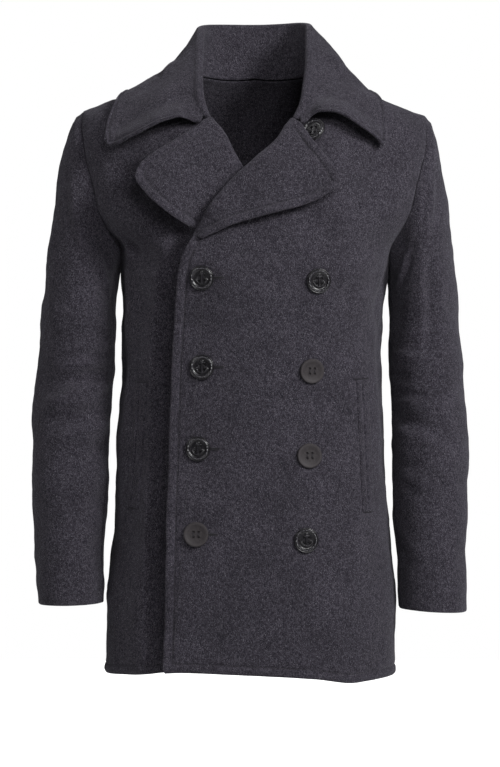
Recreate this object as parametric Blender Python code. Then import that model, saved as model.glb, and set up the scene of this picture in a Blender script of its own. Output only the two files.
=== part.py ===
"""Double-breasted pea coat with a wide collar, worn with the neck open.

Metres, +Z up.  The coat's front faces -Y and +X is the wearer's left.  The origin lies at the base of
the neck between the shoulders, where the wearer's shoulders carry the coat.
"""

import bpy
import bmesh
import numpy as np
from mathutils import Vector

# ---------------------------------------------------------------- driving dimensions
WALL = 0.003              # one layer of melton cloth
FLAP_WALL = 0.004         # collar and lapels, two layers pressed together
SEAM_GAP = 0.0003         # between the pieces at a seam
SLEEVE_GAP = 0.0005       # a sleeve's side of the armhole seam
ROLL_GAP = 0.0011         # from a front's end to the lapel's fold round it
FACET_GAP = 0.0008        # more, because the front's end is straight between its points
FACET_BLEND = (-0.012, 0.002)  # heights from the break over which it is added
NECK_GAP = 0.0008         # between the neck seam and the collar's foot
ARMPIT_HEIGHT = -0.235
SHOULDER_HEIGHT = 0.0546  # where the two shoulder lines would meet over the neck
SHOULDER_SLOPE = 0.368
NECK_REACH = 0.085        # neck end of the shoulder seam from the centre line
NECK_DEPTH_BACK = 0.068   # back neck seam behind the shoulder line
FRONT_ROUND = 2.3         # side view of the shoulder, 2 is an ellipse
BACK_ROUND = 2.6
HEM_FADE = 0.4            # share of the trunk over which the hem's unevenness fades out

ROLL_RADIUS = 0.004       # fold of a lapel, at the middle of its cloth
PRESSED_RADIUS = 0.003    # the same where the over-front presses on the under-front's lapel
PRESSED_TOP = (-0.110, -0.070)  # heights over which the under-front's fold comes free
BREAK_BLEND = (-0.010, 0.030)   # heights from the break over which a front starts to leave room for it
PRESSED_REACH = (0.006, 0.035)  # from where to where the under-front's lapel comes free of the over-front
BREAK_RADIUS = 0.0024     # the same where the roll runs out into the front edge
BREAK_HEIGHT = -0.1935    # where the over-front starts to roll
UNDER_BREAK_HEIGHT = -0.200
GORGE_HEIGHT = -0.042     # collar ends and lapels meet here
GORGE_GAP = 0.0015
COLLAR_RADIUS = 0.0045
COLLAR_CLEARANCE = 0.0055 # middle of the collar's cloth above the body
LAPEL_RISE = 0.005        # how far a lapel's free edge stands off
RISE_POWER = 1.5          # it curves up towards the edge
PRESSED_RISE = (0.8, 2.0) # least height of a lapel in pressed folds: at the roll, and more to the edge

HEM_ROWS = (0.0, 0.008, 0.025)
TRUNK_ROWS = 13
YOKE_ROWS = 12
FRONT_COLUMNS = 18
SHOULDER_COLUMNS = 7
NECK_COLUMNS = 10
# where the sleeve's rings lie, in rows of the sleeve tables
SLEEVE_RINGS = (0, 0.5, 1, 1.5, 2, 3, 4, 5, 5.5, 6, 6.5, 7, 7.3, 7.6, 7.9, 8.2, 8.5, 8.8, 9.2, 9.6,
                10, 10.5, 11.2, 12)
SETTLE_STEPS = 5          # rounds that fit a lifted point to its place as seen from the front
SEARCH_STEPS = 30         # rounds that find a height on the form, or an edge
SLOPE_STEP = 0.002        # for measuring how an edge slants


def table(names, *rows):
    """Columns of a table by name."""
    return {name: np.array([row[i] for row in rows], float) for i, name in enumerate(names)}


# Level sections of the body from hem to armpit; depths are measured from the shoulder line.
TRUNK = table(
    ("height", "half_width", "front", "back", "roundness", "centre"),
    (-0.765, 0.1930, 0.138, 0.134, 2.5, -0.001),
    (-0.678, 0.1925, 0.136, 0.132, 2.5, 0.001),
    (-0.611, 0.1862, 0.132, 0.126, 2.5, 0.002),
    (-0.545, 0.1797, 0.127, 0.116, 2.5, 0.002),
    (-0.478, 0.1772, 0.123, 0.107, 2.4, 0.002),
    (-0.412, 0.1750, 0.122, 0.102, 2.4, 0.002),
    (-0.345, 0.1735, 0.125, 0.106, 2.4, 0.003),
    (-0.285, 0.1745, 0.129, 0.114, 2.4, 0.004),
    (-0.235, 0.1780, 0.131, 0.121, 2.4, 0.006),
)

# How far the hem hangs below its level, round the body from the back over the wearer's right side.
HEM = table(
    ("angle", "droop"),
    (-180.0, 0.000), (-98.0, 0.005), (-50.0, 0.001), (-20.0, -0.006), (20.0, 0.002), (38.0, 0.009),
    (60.0, 0.007), (98.0, 0.005), (180.0, 0.000), (262.0, 0.005),
)

# From the armpit (rise 0) up to the shoulder seam (rise 1): the body's reach to the side, and where the
# armhole cuts it, in degrees round from the front centre and from the back centre.
YOKE = table(
    ("rise", "half_width", "roundness", "front_cut", "back_cut"),
    (0.00, 0.1780, 2.4, 98.0, 82.0),
    (0.03, 0.1805, 2.4, 85.0, 77.0),
    (0.10, 0.1900, 2.4, 76.5, 70.0),
    (0.20, 0.2040, 2.4, 72.0, 65.0),
    (0.33, 0.2170, 2.5, 67.5, 61.0),
    (0.47, 0.2245, 2.6, 66.5, 60.5),
    (0.60, 0.2280, 2.8, 69.0, 62.5),
    (0.73, 0.2300, 3.2, 72.0, 66.0),
    (0.85, 0.2310, 3.8, 74.5, 70.0),
    (0.95, 0.2295, 4.6, 77.0, 74.0),
    (1.00, 0.2270, 4.8, 90.0, 90.0),
)

# Largest folds of the body: from and to, in degrees round and by level, with the half width and how far
# each stands out, or dips where it is negative.
DEGREE_LENGTH = 0.0026    # of a degree round the body, on average
LEVEL_LENGTH = 0.50       # from one level to the next
FOLD_FADE = (-0.15, 0.25, 0.70, 1.15)  # shares of a fold's length where it starts, is full, and ends
FOLDS = table(
    ("angle", "level", "to_angle", "to_level", "width", "depth"),
    (-57.0, 1.30, -30.0, 1.12, 0.012, 0.0030),
    (-62.0, 1.17, -32.0, 1.02, 0.017, -0.0030),
    (-80.0, 1.02, -76.0, 0.60, 0.015, -0.0045),
    (82.0, 1.03, 64.0, 0.86, 0.013, -0.0045),
    (74.0, 0.90, 78.0, 0.45, 0.016, -0.0035),
    (14.0, 0.25, 34.0, 0.09, 0.014, 0.0025),
    (146.0, 1.40, 158.0, 0.60, 0.022, -0.0045),
    (214.0, 1.40, 202.0, 0.60, 0.022, -0.0045),
    (168.0, 0.62, 176.0, 0.06, 0.024, 0.0040),
    (232.0, 0.80, 222.0, 0.40, 0.018, -0.0035),
    (128.0, 0.80, 138.0, 0.40, 0.018, -0.0035),
)

# Largest folds of the sleeves: side, from and to by row of the sleeve table and by degrees round from the
# inner side over the front, with the half width and the depth.
TURN_LENGTH = 0.0010      # of a degree round the sleeve
ROW_LENGTH = 0.066
SLEEVE_FOLDS = table(
    ("side", "row", "turn", "to_row", "to_turn", "width", "depth"),
    (-1, 7.25, 35.0, 7.75, 150.0, 0.012, -0.0045),
    (-1, 7.60, 40.0, 8.15, 140.0, 0.011, 0.0030),
    (-1, 8.00, 25.0, 8.50, 130.0, 0.012, -0.0040),
    (-1, 8.80, 15.0, 9.25, 105.0, 0.014, -0.0035),
    (-1, 9.90, 15.0, 10.40, 80.0, 0.014, -0.0030),
    (-1, 7.60, 225.0, 8.20, 300.0, 0.014, 0.0035),
    (1, 4.60, 96.0, 7.10, 90.0, 0.015, -0.0035),
    (1, 7.30, 15.0, 7.90, 95.0, 0.014, -0.0045),
    (1, 8.15, 10.0, 8.65, 115.0, 0.012, -0.0035),
    (1, 9.30, 15.0, 10.00, 115.0, 0.013, -0.0040),
    (1, 7.60, 225.0, 8.20, 300.0, 0.014, 0.0035),
)

# Front edges as seen from the front, from the hem up over the roll line to the shoulder seam.
OVER_EDGE = table(
    ("height", "across"),
    (-0.7650, -0.0995), (-0.7610, -0.1060), (-0.7520, -0.1100), (-0.6660, -0.1072),
    (-0.5400, -0.1046), (-0.4490, -0.1027), (-0.3345, -0.0976), (-0.2640, -0.0925),
    (-0.2320, -0.0874), (-0.2070, -0.0759), (-0.1935, -0.0678), (-0.1717, -0.0575),
    (-0.1350, -0.0280), (-0.0977, 0.0128), (-0.0755, 0.0385), (-0.0530, 0.0525),
    (-0.0377, 0.0606), (-0.0100, 0.0775), (0.0100, 0.0870), (0.0233, 0.0910),
)
UNDER_EDGE = table(
    ("height", "across"),
    (-0.7650, 0.1000), (-0.5000, 0.0950), (-0.3500, 0.0880), (-0.2600, 0.0700),
    (-0.2000, 0.0383), (-0.1560, 0.0154), (-0.1150, -0.0090), (-0.0918, -0.0232),
    (-0.0725, -0.0335), (-0.0532, -0.0477), (-0.0351, -0.0567), (-0.0100, -0.0665),
    (0.0100, -0.0760), (0.0233, -0.0790),
)

# Free edges of the lapels as seen from the front, out from the break, and down from the gorge.
LAPEL_OVER_LOW = table(
    ("across", "height"),
    (-0.0610, -0.2040), (-0.0420, -0.1970), (-0.0217, -0.1881), (0.0000, -0.1817), (0.0344, -0.1728),
    (0.0637, -0.1651), (0.0841, -0.1575), (0.1010, -0.1473), (0.1125, -0.1400), (0.1150, -0.1330),
)
LAPEL_OVER_TOP = table(
    ("across", "height"),
    (0.0560, -0.0460), (0.0680, -0.0600), (0.0790, -0.0772), (0.0955, -0.0989), (0.1085, -0.1190),
    (0.1150, -0.1330),
)
LAPEL_UNDER_LOW = table(
    ("across", "height"),
    (0.0200, -0.2050), (-0.0255, -0.2060), (-0.0675, -0.1944), (-0.0956, -0.1792), (-0.1210, -0.1588),
    (-0.1420, -0.1355), (-0.1470, -0.1250),
)
LAPEL_UNDER_TOP = table(
    ("across", "height"),
    (-0.0530, -0.0440), (-0.0662, -0.0580), (-0.0892, -0.0734), (-0.1147, -0.0900), (-0.1401, -0.1091),
    (-0.1470, -0.1250),
)

# Stations round the collar, -1 and 1 at the gorges and 0 at the back: its fold and its free edge.
COLLAR = table(
    ("station", "roll_x", "roll_y", "roll_z", "edge_x", "edge_y", "edge_z", "hump"),
    (-1.00, -0.0590, -0.103, -0.0385, -0.1880, -0.086, -0.0740, 0.000),
    (-0.86, -0.0625, -0.084, -0.0040, -0.1870, -0.074, -0.0560, 0.006),
    (-0.72, -0.0630, -0.055, 0.0260, -0.1770, -0.052, -0.0300, 0.002),
    (-0.58, -0.0630, -0.020, 0.0600, -0.1640, -0.012, -0.0010, -0.004),
    (-0.42, -0.0630, 0.022, 0.0860, -0.1420, 0.045, -0.0010, -0.006),
    (-0.22, -0.0430, 0.068, 0.0960, -0.0820, 0.087, -0.0040, 0.000),
    (0.00, 0.0050, 0.082, 0.0980, 0.0050, 0.100, -0.0060, 0.002),
    (0.22, 0.0530, 0.068, 0.0980, 0.0920, 0.087, -0.0040, 0.000),
    (0.42, 0.0740, 0.022, 0.0900, 0.1440, 0.045, -0.0030, -0.013),
    (0.58, 0.0740, -0.020, 0.0590, 0.1600, -0.012, -0.0060, -0.009),
    (0.72, 0.0730, -0.055, 0.0260, 0.1715, -0.052, -0.0370, 0.002),
    (0.86, 0.0690, -0.084, -0.0060, 0.1735, -0.074, -0.0560, 0.006),
    (1.00, 0.0620, -0.103, -0.0395, 0.1760, -0.088, -0.0760, 0.000),
)

# Front ends of the collar's fall, from the notch below its fold along the lower edge to the point.
COLLAR_END_RIGHT = table(
    ("across", "height"),
    (-0.0665, -0.0480), (-0.0690, -0.0540), (-0.0773, -0.0535), (-0.0902, -0.0500), (-0.1095, -0.0551),
    (-0.1288, -0.0648), (-0.1546, -0.0770), (-0.1700, -0.0828), (-0.1816, -0.0835), (-0.1880, -0.0745),
)
COLLAR_END_LEFT = table(
    ("across", "height"),
    (0.0700, -0.0480), (0.0722, -0.0540), (0.0790, -0.0505), (0.0902, -0.0432), (0.1030, -0.0416),
    (0.1159, -0.0461), (0.1417, -0.0583), (0.1610, -0.0690), (0.1710, -0.0785), (0.1755, -0.0735),
)

# Sleeve sections from the armhole to the cuff: the outer and inner side as seen from the front, the
# middle's place front to back, the half depth, and how far the section still follows the armhole.
SLEEVE_RIGHT = table(
    ("outer_x", "outer_z", "inner_x", "inner_z", "mid_y", "half_depth", "armhole"),
    (-0.2210, -0.0289, -0.1720, -0.2350, 0.004, 0.066, 1.00),
    (-0.2330, -0.0440, -0.1745, -0.2400, 0.004, 0.068, 0.86),
    (-0.2420, -0.0728, -0.1758, -0.2450, 0.004, 0.070, 0.60),
    (-0.2520, -0.1080, -0.1765, -0.2520, 0.004, 0.071, 0.34),
    (-0.2600, -0.1480, -0.1770, -0.2640, 0.003, 0.071, 0.15),
    (-0.2690, -0.2060, -0.1775, -0.2860, 0.003, 0.070, 0.04),
    (-0.2755, -0.2790, -0.1780, -0.3200, 0.003, 0.067, 0.00),
    (-0.2810, -0.3455, -0.1785, -0.3640, 0.002, 0.063, 0.00),
    (-0.2870, -0.4120, -0.1825, -0.4200, -0.002, 0.060, 0.00),
    (-0.2905, -0.4785, -0.1885, -0.4800, -0.009, 0.057, 0.00),
    (-0.2880, -0.5450, -0.1890, -0.5450, -0.017, 0.054, 0.00),
    (-0.2830, -0.6115, -0.1910, -0.6110, -0.026, 0.052, 0.00),
    (-0.2780, -0.6790, -0.1920, -0.6770, -0.034, 0.051, 0.00),
)
SLEEVE_LEFT = table(
    ("outer_x", "outer_z", "inner_x", "inner_z", "mid_y", "half_depth", "armhole"),
    (0.2330, -0.0289, 0.1840, -0.2350, 0.004, 0.066, 1.00),
    (0.2430, -0.0460, 0.1845, -0.2400, 0.004, 0.068, 0.86),
    (0.2490, -0.0740, 0.1848, -0.2450, 0.004, 0.070, 0.60),
    (0.2545, -0.1080, 0.1850, -0.2520, 0.004, 0.071, 0.34),
    (0.2610, -0.1480, 0.1850, -0.2640, 0.003, 0.071, 0.15),
    (0.2685, -0.2060, 0.1845, -0.2860, 0.003, 0.070, 0.04),
    (0.2755, -0.2790, 0.1830, -0.3200, 0.003, 0.067, 0.00),
    (0.2800, -0.3455, 0.1825, -0.3640, 0.002, 0.063, 0.00),
    (0.2860, -0.4120, 0.1870, -0.4200, -0.002, 0.060, 0.00),
    (0.2895, -0.4785, 0.1880, -0.4800, -0.009, 0.057, 0.00),
    (0.2875, -0.5450, 0.1880, -0.5450, -0.017, 0.054, 0.00),
    (0.2845, -0.6115, 0.1925, -0.6110, -0.026, 0.052, 0.00),
    (0.2830, -0.6890, 0.1960, -0.6840, -0.034, 0.051, 0.00),
)
FRONT_SLEEVE_SEAM = 1     # loop steps from the armpit to the two sleeve seams
BACK_SLEEVE_SEAM = 4
SHARPEST_MITRE = 0.6      # of the wall along the armhole, so that it doesn't grow too deep
HEAD_LEAN = 0.5           # how far the sleeve's second ring still leans like the armhole's rim

# Pocket openings on each front, down the middle of the welt.
WELT_WIDTH = 0.016
WELT_WALL = 0.002
WELT_GAP = 0.0012         # above the front, which is flat between its points
WELTS = table(
    ("side", "top_across", "top_height", "low_across", "low_height"),
    (-1, -0.1400, -0.3880, -0.1520, -0.5520),
    (1, 0.1450, -0.3840, 0.1530, -0.5560),
)

# Buttons where they are sewn, as seen from the front, and how high each sits: the cloth is flat between
# the points of its wall and bends under the wide buttons.
BUTTON_RADIUS = 0.0155
BUTTONS = (
    ("name", "across", "height", "kind", "seat"),
    ("button_1_right", -0.0612, -0.2554, "roped", -0.0006),
    ("button_1_left", 0.0874, -0.2592, "roped", -0.0003),
    ("button_2_right", -0.0612, -0.3690, "roped", 0.0003),
    ("button_2_left", 0.0791, -0.3741, "plain", 0.0001),
    ("button_3_right", -0.0663, -0.4736, "roped", 0.0004),
    ("button_3_left", 0.0759, -0.4825, "plain", 0.0006),
    ("button_4_right", -0.0689, -0.5827, "plain", 0.0003),
    ("button_4_left", 0.0715, -0.5897, "roped", 0.0001),
    ("button_collar", 0.0846, -0.0664, "roped", 0.0004),
)
BUTTON_PROFILES = {
    # radius and height above the cloth, as shares of the button's radius, down the outer side
    "roped": ((0.00, 0.17), (0.62, 0.17), (0.70, 0.24), (0.86, 0.26), (0.97, 0.20), (1.00, 0.10),
              (0.88, 0.02), (0.00, 0.00)),
    "plain": ((0.00, 0.15), (0.60, 0.15), (0.72, 0.20), (0.88, 0.24), (0.98, 0.18), (1.00, 0.09),
              (0.88, 0.02), (0.00, 0.00)),
}
BUTTON_STEPS = 16

# Depth of the over-front's layer above the body where the under-front lies beneath it.
LAP_LOW = 0.0060
LAP_HIGH = 0.0118
LAP_FLARE = 0.0030
LAP_ACROSS = (0.105, 0.170)      # where it comes down to the body, beside the under-front
LAP_TOP = (-0.130, -0.040)       # and above it
LAP_ROLLED = (-0.330, -0.235)    # where the under-front's lapel adds to the layers
FLARE_ACROSS = (-0.115, -0.070)  # the free edge stands off a little more
FLARE_TOP = (-0.270, -0.220)

WOOL = (0.045, 0.043, 0.050, 1.0)
WOOL_DARK = (0.036, 0.034, 0.041, 1.0)
HORN = (0.020, 0.019, 0.019, 1.0)


# ---------------------------------------------------------------- curves and the body's form
def unit(vectors):
    length = np.linalg.norm(vectors, axis=-1, keepdims=True)
    return vectors / np.maximum(length, 1e-12)


def ease(value, start, end):
    """0 before start, 1 after end, smooth between."""
    t = np.clip((value - start) / (end - start), 0.0, 1.0)
    return t * t * (3.0 - 2.0 * t)


def curve(xs, ys, at):
    """Smooth curve through the points that doesn't overshoot them."""
    at = np.clip(at, xs[0], xs[-1])
    steps = np.diff(xs)
    slopes = np.diff(ys) / steps
    tangents = np.zeros_like(ys)
    before, after = slopes[:-1], slopes[1:]
    same_way = before * after > 0
    total = np.where(same_way, before + after, 1.0)
    tangents[1:-1] = np.where(same_way, 2.0 * before * after / total, 0.0)
    tangents[0], tangents[-1] = slopes[0], slopes[-1]
    k = np.clip(np.searchsorted(xs, at) - 1, 0, len(xs) - 2)
    t = (at - xs[k]) / steps[k]
    return ((1 + 2 * t) * (1 - t) ** 2 * ys[k] + t * t * (3 - 2 * t) * ys[k + 1]
            + steps[k] * (t * (1 - t) ** 2 * tangents[k] - t * t * (1 - t) * tangents[k + 1]))


def along(points, share):
    """Smooth curve through front-view points, by its share of the length."""
    xy = np.stack([points["across"], points["height"]], axis=-1)
    run = np.concatenate([[0.0], np.cumsum(np.linalg.norm(np.diff(xy, axis=0), axis=1))])
    run /= run[-1]
    return np.stack([curve(run, xy[:, 0], share), curve(run, xy[:, 1], share)], axis=-1)


def relief(across, up, folds, across_length, up_length, names):
    """Sum of the folds' depths at a place given in the folds' own measures."""
    total = np.zeros(np.broadcast(across, up).shape)
    for row in range(len(folds["depth"])):
        start = np.array([folds[names[0]][row] * across_length, folds[names[1]][row] * up_length])
        end = np.array([folds[names[2]][row] * across_length, folds[names[3]][row] * up_length])
        turn = (across - folds[names[0]][row] + 180.0) % 360.0 - 180.0
        here = (turn + folds[names[0]][row]) * across_length, up * up_length
        length = np.linalg.norm(end - start)
        way = (end - start) / length
        run = ((here[0] - start[0]) * way[0] + (here[1] - start[1]) * way[1]) / length
        off = (here[0] - start[0]) * way[1] - (here[1] - start[1]) * way[0]
        fade = ease(run, *FOLD_FADE[:2]) * (1.0 - ease(run, *FOLD_FADE[2:]))
        total += folds["depth"][row] * fade * np.exp(-(off / folds["width"][row]) ** 2)
    return total


def section(level):
    """The body's section at a level: 0 at the hem, 1 at the armpit, 2 at the shoulder seam."""
    level = np.asarray(level, float)
    height = TRUNK["height"][0] + (ARMPIT_HEIGHT - TRUNK["height"][0]) * np.clip(level, 0, 1)
    rise = (1.0 - np.cos(np.pi * np.clip(level - 1.0, 0.0, 1.0))) / 2.0
    trunk = {name: curve(TRUNK["height"], TRUNK[name], height) for name in TRUNK}
    on_yoke = level > 1.0
    width = np.where(on_yoke, curve(YOKE["rise"], YOKE["half_width"], rise), trunk["half_width"])
    roundness = np.where(on_yoke, curve(YOKE["rise"], YOKE["roundness"], rise), trunk["roundness"])
    front = trunk["front"] * (1.0 - rise ** FRONT_ROUND) ** (1.0 / FRONT_ROUND)
    back = trunk["back"] * (1.0 - rise ** BACK_ROUND) ** (1.0 / BACK_ROUND)
    return height, rise, width, front, back, roundness, trunk["centre"]


def surface(angle, level):
    """Point of the body's form, by degrees round from the front centre towards +X and by level."""
    height, rise, width, front, back, roundness, centre = section(level)
    turn = np.radians(angle)
    sine, cosine = np.sin(turn), np.cos(turn)
    power = 2.0 / roundness
    reach = width * np.abs(sine) ** power
    names = ("angle", "level", "to_angle", "to_level")
    fold = relief(angle, level, FOLDS, DEGREE_LENGTH, LEVEL_LENGTH, names)
    x = centre + reach * np.sign(sine) + fold * sine
    y = -np.where(cosine > 0, front, back) * np.sign(cosine) * np.abs(cosine) ** power - fold * cosine
    droop = curve(HEM["angle"], HEM["droop"], angle) * (1.0 - ease(level, 0.0, HEM_FADE))
    shoulder = SHOULDER_HEIGHT - SHOULDER_SLOPE * reach
    z = height - droop + (shoulder - ARMPIT_HEIGHT) * rise
    return np.stack([x, y, z], axis=-1)


def surface_normal(angle, level):
    """Outward direction of the form."""
    angle, level = np.broadcast_arrays(np.asarray(angle, float), np.asarray(level, float))
    level = np.clip(level, 0.002, 1.97)
    round_body = surface(angle + 0.5, level) - surface(angle - 0.5, level)
    up_body = surface(angle, level + 0.002) - surface(angle, level - 0.002)
    return unit(np.cross(round_body, up_body))


def angle_at(x, level):
    """Degrees round from the front centre of the form's point at x, on the front half."""
    _, _, width, _, _, roundness, centre = section(level)
    share = np.clip(np.abs(x - centre) / width, 0.0, 0.9999)
    return np.degrees(np.arcsin(share ** (roundness / 2.0))) * np.sign(x - centre)


def locate(x, z):
    """Angle and level of the form's point at x and z, seen from the front."""
    low, high = np.zeros_like(x), np.full_like(x, 1.999)
    for _ in range(SEARCH_STEPS):
        middle = (low + high) / 2.0
        below = surface(angle_at(x, middle), middle)[..., 2] < z
        low, high = np.where(below, middle, low), np.where(below, high, middle)
    return angle_at(x, low), low


def lap_lift(x, z):
    """How far the over-front stands off the body's form to clear the under-front and its lapel."""
    covered = (1.0 - ease(x, *LAP_ACROSS)) * (1.0 - ease(z, *LAP_TOP))
    at_roll = ease(z, *LAP_ROLLED)
    flare = LAP_FLARE * (1.0 - ease(x, *FLARE_ACROSS)) * (1.0 - ease(z, *FLARE_TOP))
    return covered * (LAP_LOW + (LAP_HIGH - LAP_LOW) * at_roll) + flare


def on_front(x, z, lift, over):
    """Point seen from the front at x and z, standing off the front by lift, and the way outward."""
    lift = lift + (lap_lift(x, z) if over else 0.0)
    at_x, at_z = np.array(x, float), np.array(z, float)
    for _ in range(SETTLE_STEPS):
        angle, level = locate(at_x, at_z)
        normal = surface_normal(angle, level)
        point = surface(angle, level) + normal * np.expand_dims(lift, -1)
        at_x, at_z = at_x + x - point[..., 0], at_z + z - point[..., 2]
    return point, normal


def clear_of_body(points, gap):
    """Points moved outward where they come closer to the body than the gap."""
    behind = points[..., 1] > 0
    angle, level = locate(points[..., 0], points[..., 2])
    angle = np.where(behind, 180.0 - angle, angle)
    normal = surface_normal(angle, level)
    height = np.sum((points - surface(angle, level)) * normal, axis=-1)
    lap = np.where(behind, 0.0, lap_lift(points[..., 0], points[..., 2]))
    lack = np.maximum(gap + lap - height, 0.0)
    return points + normal * lack[..., None]


# ---------------------------------------------------------------- closed walls from grids of points
def grid_normals(points):
    """Directions across a grid of points, from its neighbours."""
    down, across = np.gradient(points, axis=0), np.gradient(points, axis=1)
    return unit(np.cross(across, down))


def wall(name, outer, inner, material):
    """Closed wall between two grids of points."""
    rows, columns = outer.shape[:2]
    mesh = bmesh.new()
    layers = [[[mesh.verts.new(grid[j, i]) for i in range(columns)] for j in range(rows)]
              for grid in (outer, inner)]
    for layer in layers:
        for j in range(rows - 1):
            for i in range(columns - 1):
                mesh.faces.new((layer[j][i], layer[j][i + 1], layer[j + 1][i + 1], layer[j + 1][i]))
    front, back = layers
    rim = [(0, i) for i in range(columns - 1)] + [(j, columns - 1) for j in range(rows - 1)]
    rim += [(rows - 1, i) for i in range(columns - 1, 0, -1)] + [(j, 0) for j in range(rows - 1, 0, -1)]
    for (j, i), (jj, ii) in zip(rim, rim[1:] + rim[:1]):
        mesh.faces.new((front[j][i], front[jj][ii], back[jj][ii], back[j][i]))
    add_object(name, mesh, material)


def add_object(name, mesh, material):
    """Object in the coat's collection from a bmesh with its faces turned outward."""
    bmesh.ops.recalc_face_normals(mesh, faces=mesh.faces)
    data = bpy.data.meshes.new(name)
    mesh.to_mesh(data)
    mesh.free()
    data.materials.append(material)
    data.shade_smooth()
    data.set_sharp_from_angle(angle=0.7)
    part = bpy.data.objects.new(name, data)
    coat.objects.link(part)
    return part


def make_material(name, color, roughness):
    material = bpy.data.materials.new(name)
    material.use_nodes = True
    shader = material.node_tree.nodes["Principled BSDF"]
    shader.inputs["Base Color"].default_value = color
    shader.inputs["Roughness"].default_value = roughness
    shader.inputs["Metallic"].default_value = 0.0
    return material


# ---------------------------------------------------------------- armholes and sleeves
def levels():
    trunk = np.concatenate([HEM_ROWS, np.linspace(0.0, 1.0, TRUNK_ROWS - len(HEM_ROWS) + 2)[1:]])
    yoke = 1.0 + np.linspace(0.0, 1.0, YOKE_ROWS + 1)[1:]
    return np.concatenate([trunk, yoke])


def cut_angle(level, name):
    """Where the side seam or the armhole ends a panel, in degrees from its own centre."""
    rise = section(level)[1]
    return curve(YOKE["rise"], YOKE[name], rise)


def armhole(side):
    """Loop of points round the armhole, from the armpit up the front and down the back."""
    yoke = levels()[TRUNK_ROWS:]
    front = surface(side * cut_angle(yoke, "front_cut"), yoke)
    back = surface(180.0 - side * cut_angle(yoke, "back_cut"), yoke)
    loop = np.concatenate([front, back[-2:0:-1]])
    body = np.concatenate([surface_normal(side * cut_angle(yoke, "front_cut"), yoke),
                           surface_normal(180.0 - side * cut_angle(yoke, "back_cut"), yoke)[-2:0:-1]])
    body[YOKE_ROWS] = unit(np.array([side * SHOULDER_SLOPE, 0.0, 1.0]))
    return loop, body


def sleeve_form(side, loop):
    """Rings of the sleeve from the armhole loop to the cuff."""
    rows = SLEEVE_LEFT if side > 0 else SLEEVE_RIGHT
    at = np.array(SLEEVE_RINGS, float)
    ring = {name: curve(np.arange(len(rows[name]), dtype=float), rows[name], at) for name in rows}
    turn = np.linspace(0.0, 2.0 * np.pi, len(loop), endpoint=False)
    outer = np.stack([ring["outer_x"], ring["mid_y"], ring["outer_z"]], axis=-1)
    inner = np.stack([ring["inner_x"], ring["mid_y"], ring["inner_z"]], axis=-1)
    middle, half = (outer + inner) / 2.0, (outer - inner) / 2.0
    cosine, sine = np.cos(turn)[None, :, None], np.sin(turn)[None, :, None]
    forward = np.array([0.0, -1.0, 0.0])
    reach = sine * ring["half_depth"][:, None, None] * forward - cosine * half[:, None]
    off = (loop - middle[0] - reach[0])[None]
    own = {name: SLEEVE_FOLDS[name][SLEEVE_FOLDS["side"] == side] for name in SLEEVE_FOLDS}
    names = ("turn", "row", "to_turn", "to_row")
    fold = relief(np.degrees(turn)[None], at[:, None], own, TURN_LENGTH, ROW_LENGTH, names)
    return middle[:, None] + reach + unit(reach) * fold[..., None] + off * ring["armhole"][:, None, None]


def ring_normals(rings, side):
    round_ring = np.roll(rings, -1, axis=1) - np.roll(rings, 1, axis=1)
    down = np.gradient(rings, axis=0)
    return unit(np.cross(down, round_ring)) * side


def armhole_rims(side):
    """Matching rims of body and sleeve: outer and inner points, and the way across the seam."""
    loop, body = armhole(side)
    rings = sleeve_form(side, loop)
    normals = ring_normals(rings, side)
    bisector = unit(body + normals[0])
    depth = WALL / np.maximum(np.sum(bisector * body, axis=-1, keepdims=True), SHARPEST_MITRE)
    inner = loop - bisector * depth
    tangent = np.roll(loop, -1, axis=0) - np.roll(loop, 1, axis=0)
    out = unit(np.cross(tangent, bisector))
    down_arm = np.array([side, 0.0, -SHOULDER_SLOPE])
    out *= np.sign(np.sum(out * down_arm, axis=-1, keepdims=True))
    return loop, inner, out, rings, normals


def build_sleeve(side, rims, material):
    """Top sleeve and under sleeve of one arm."""
    loop, inner_loop, out, rings, normals = rims
    outer = rings.copy()
    inner = rings - normals * WALL
    outer[0], inner[0] = loop + out * SLEEVE_GAP, inner_loop + out * SLEEVE_GAP
    inner[1] = rings[1] - unit(normals[1] + unit(loop - inner_loop) * HEAD_LEAN) * WALL
    count = len(loop)
    front_seam, back_seam = FRONT_SLEEVE_SEAM, count - BACK_SLEEVE_SEAM
    spans = {"top": list(range(front_seam, back_seam + 1)),
             "under": [k % count for k in range(back_seam, count + front_seam + 1)]}
    arm = "left" if side > 0 else "right"
    for name, columns in spans.items():
        faces = []
        for grid in (outer, inner):
            part = grid[:, columns].copy()
            part[:, 0] += unit(part[:, 1] - part[:, 0]) * SEAM_GAP / 2
            part[:, -1] += unit(part[:, -2] - part[:, -1]) * SEAM_GAP / 2
            faces.append(part)
        wall(f"sleeve_{name}_{arm}", faces[0], faces[1], material)


# ---------------------------------------------------------------- body panels
def setback(z, over):
    """How far a front ends short of its roll line, to leave room for the lapel's fold."""
    start = BREAK_HEIGHT if over else UNDER_BREAK_HEIGHT
    low = ROLL_RADIUS if over else PRESSED_RADIUS
    radius = low + (ROLL_RADIUS - low) * ease(z, *PRESSED_TOP)
    return (radius + FLAP_WALL / 2) * ease(z - start, *BREAK_BLEND)


def edge_across(z, over):
    edge = OVER_EDGE if over else UNDER_EDGE
    return curve(edge["height"], edge["across"], z)


def front_end(z, over):
    """Where a front ends as seen from the front: its free edge, or short of its roll line."""
    slope = (edge_across(z + SLOPE_STEP, over) - edge_across(z - SLOPE_STEP, over)) / (2 * SLOPE_STEP)
    start = BREAK_HEIGHT if over else UNDER_BREAK_HEIGHT
    short = setback(z, over) + FACET_GAP * ease(z - start, *FACET_BLEND)
    side = 1.0 if over else -1.0
    return edge_across(z, over) + side * short * np.sqrt(1.0 + slope ** 2)


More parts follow.
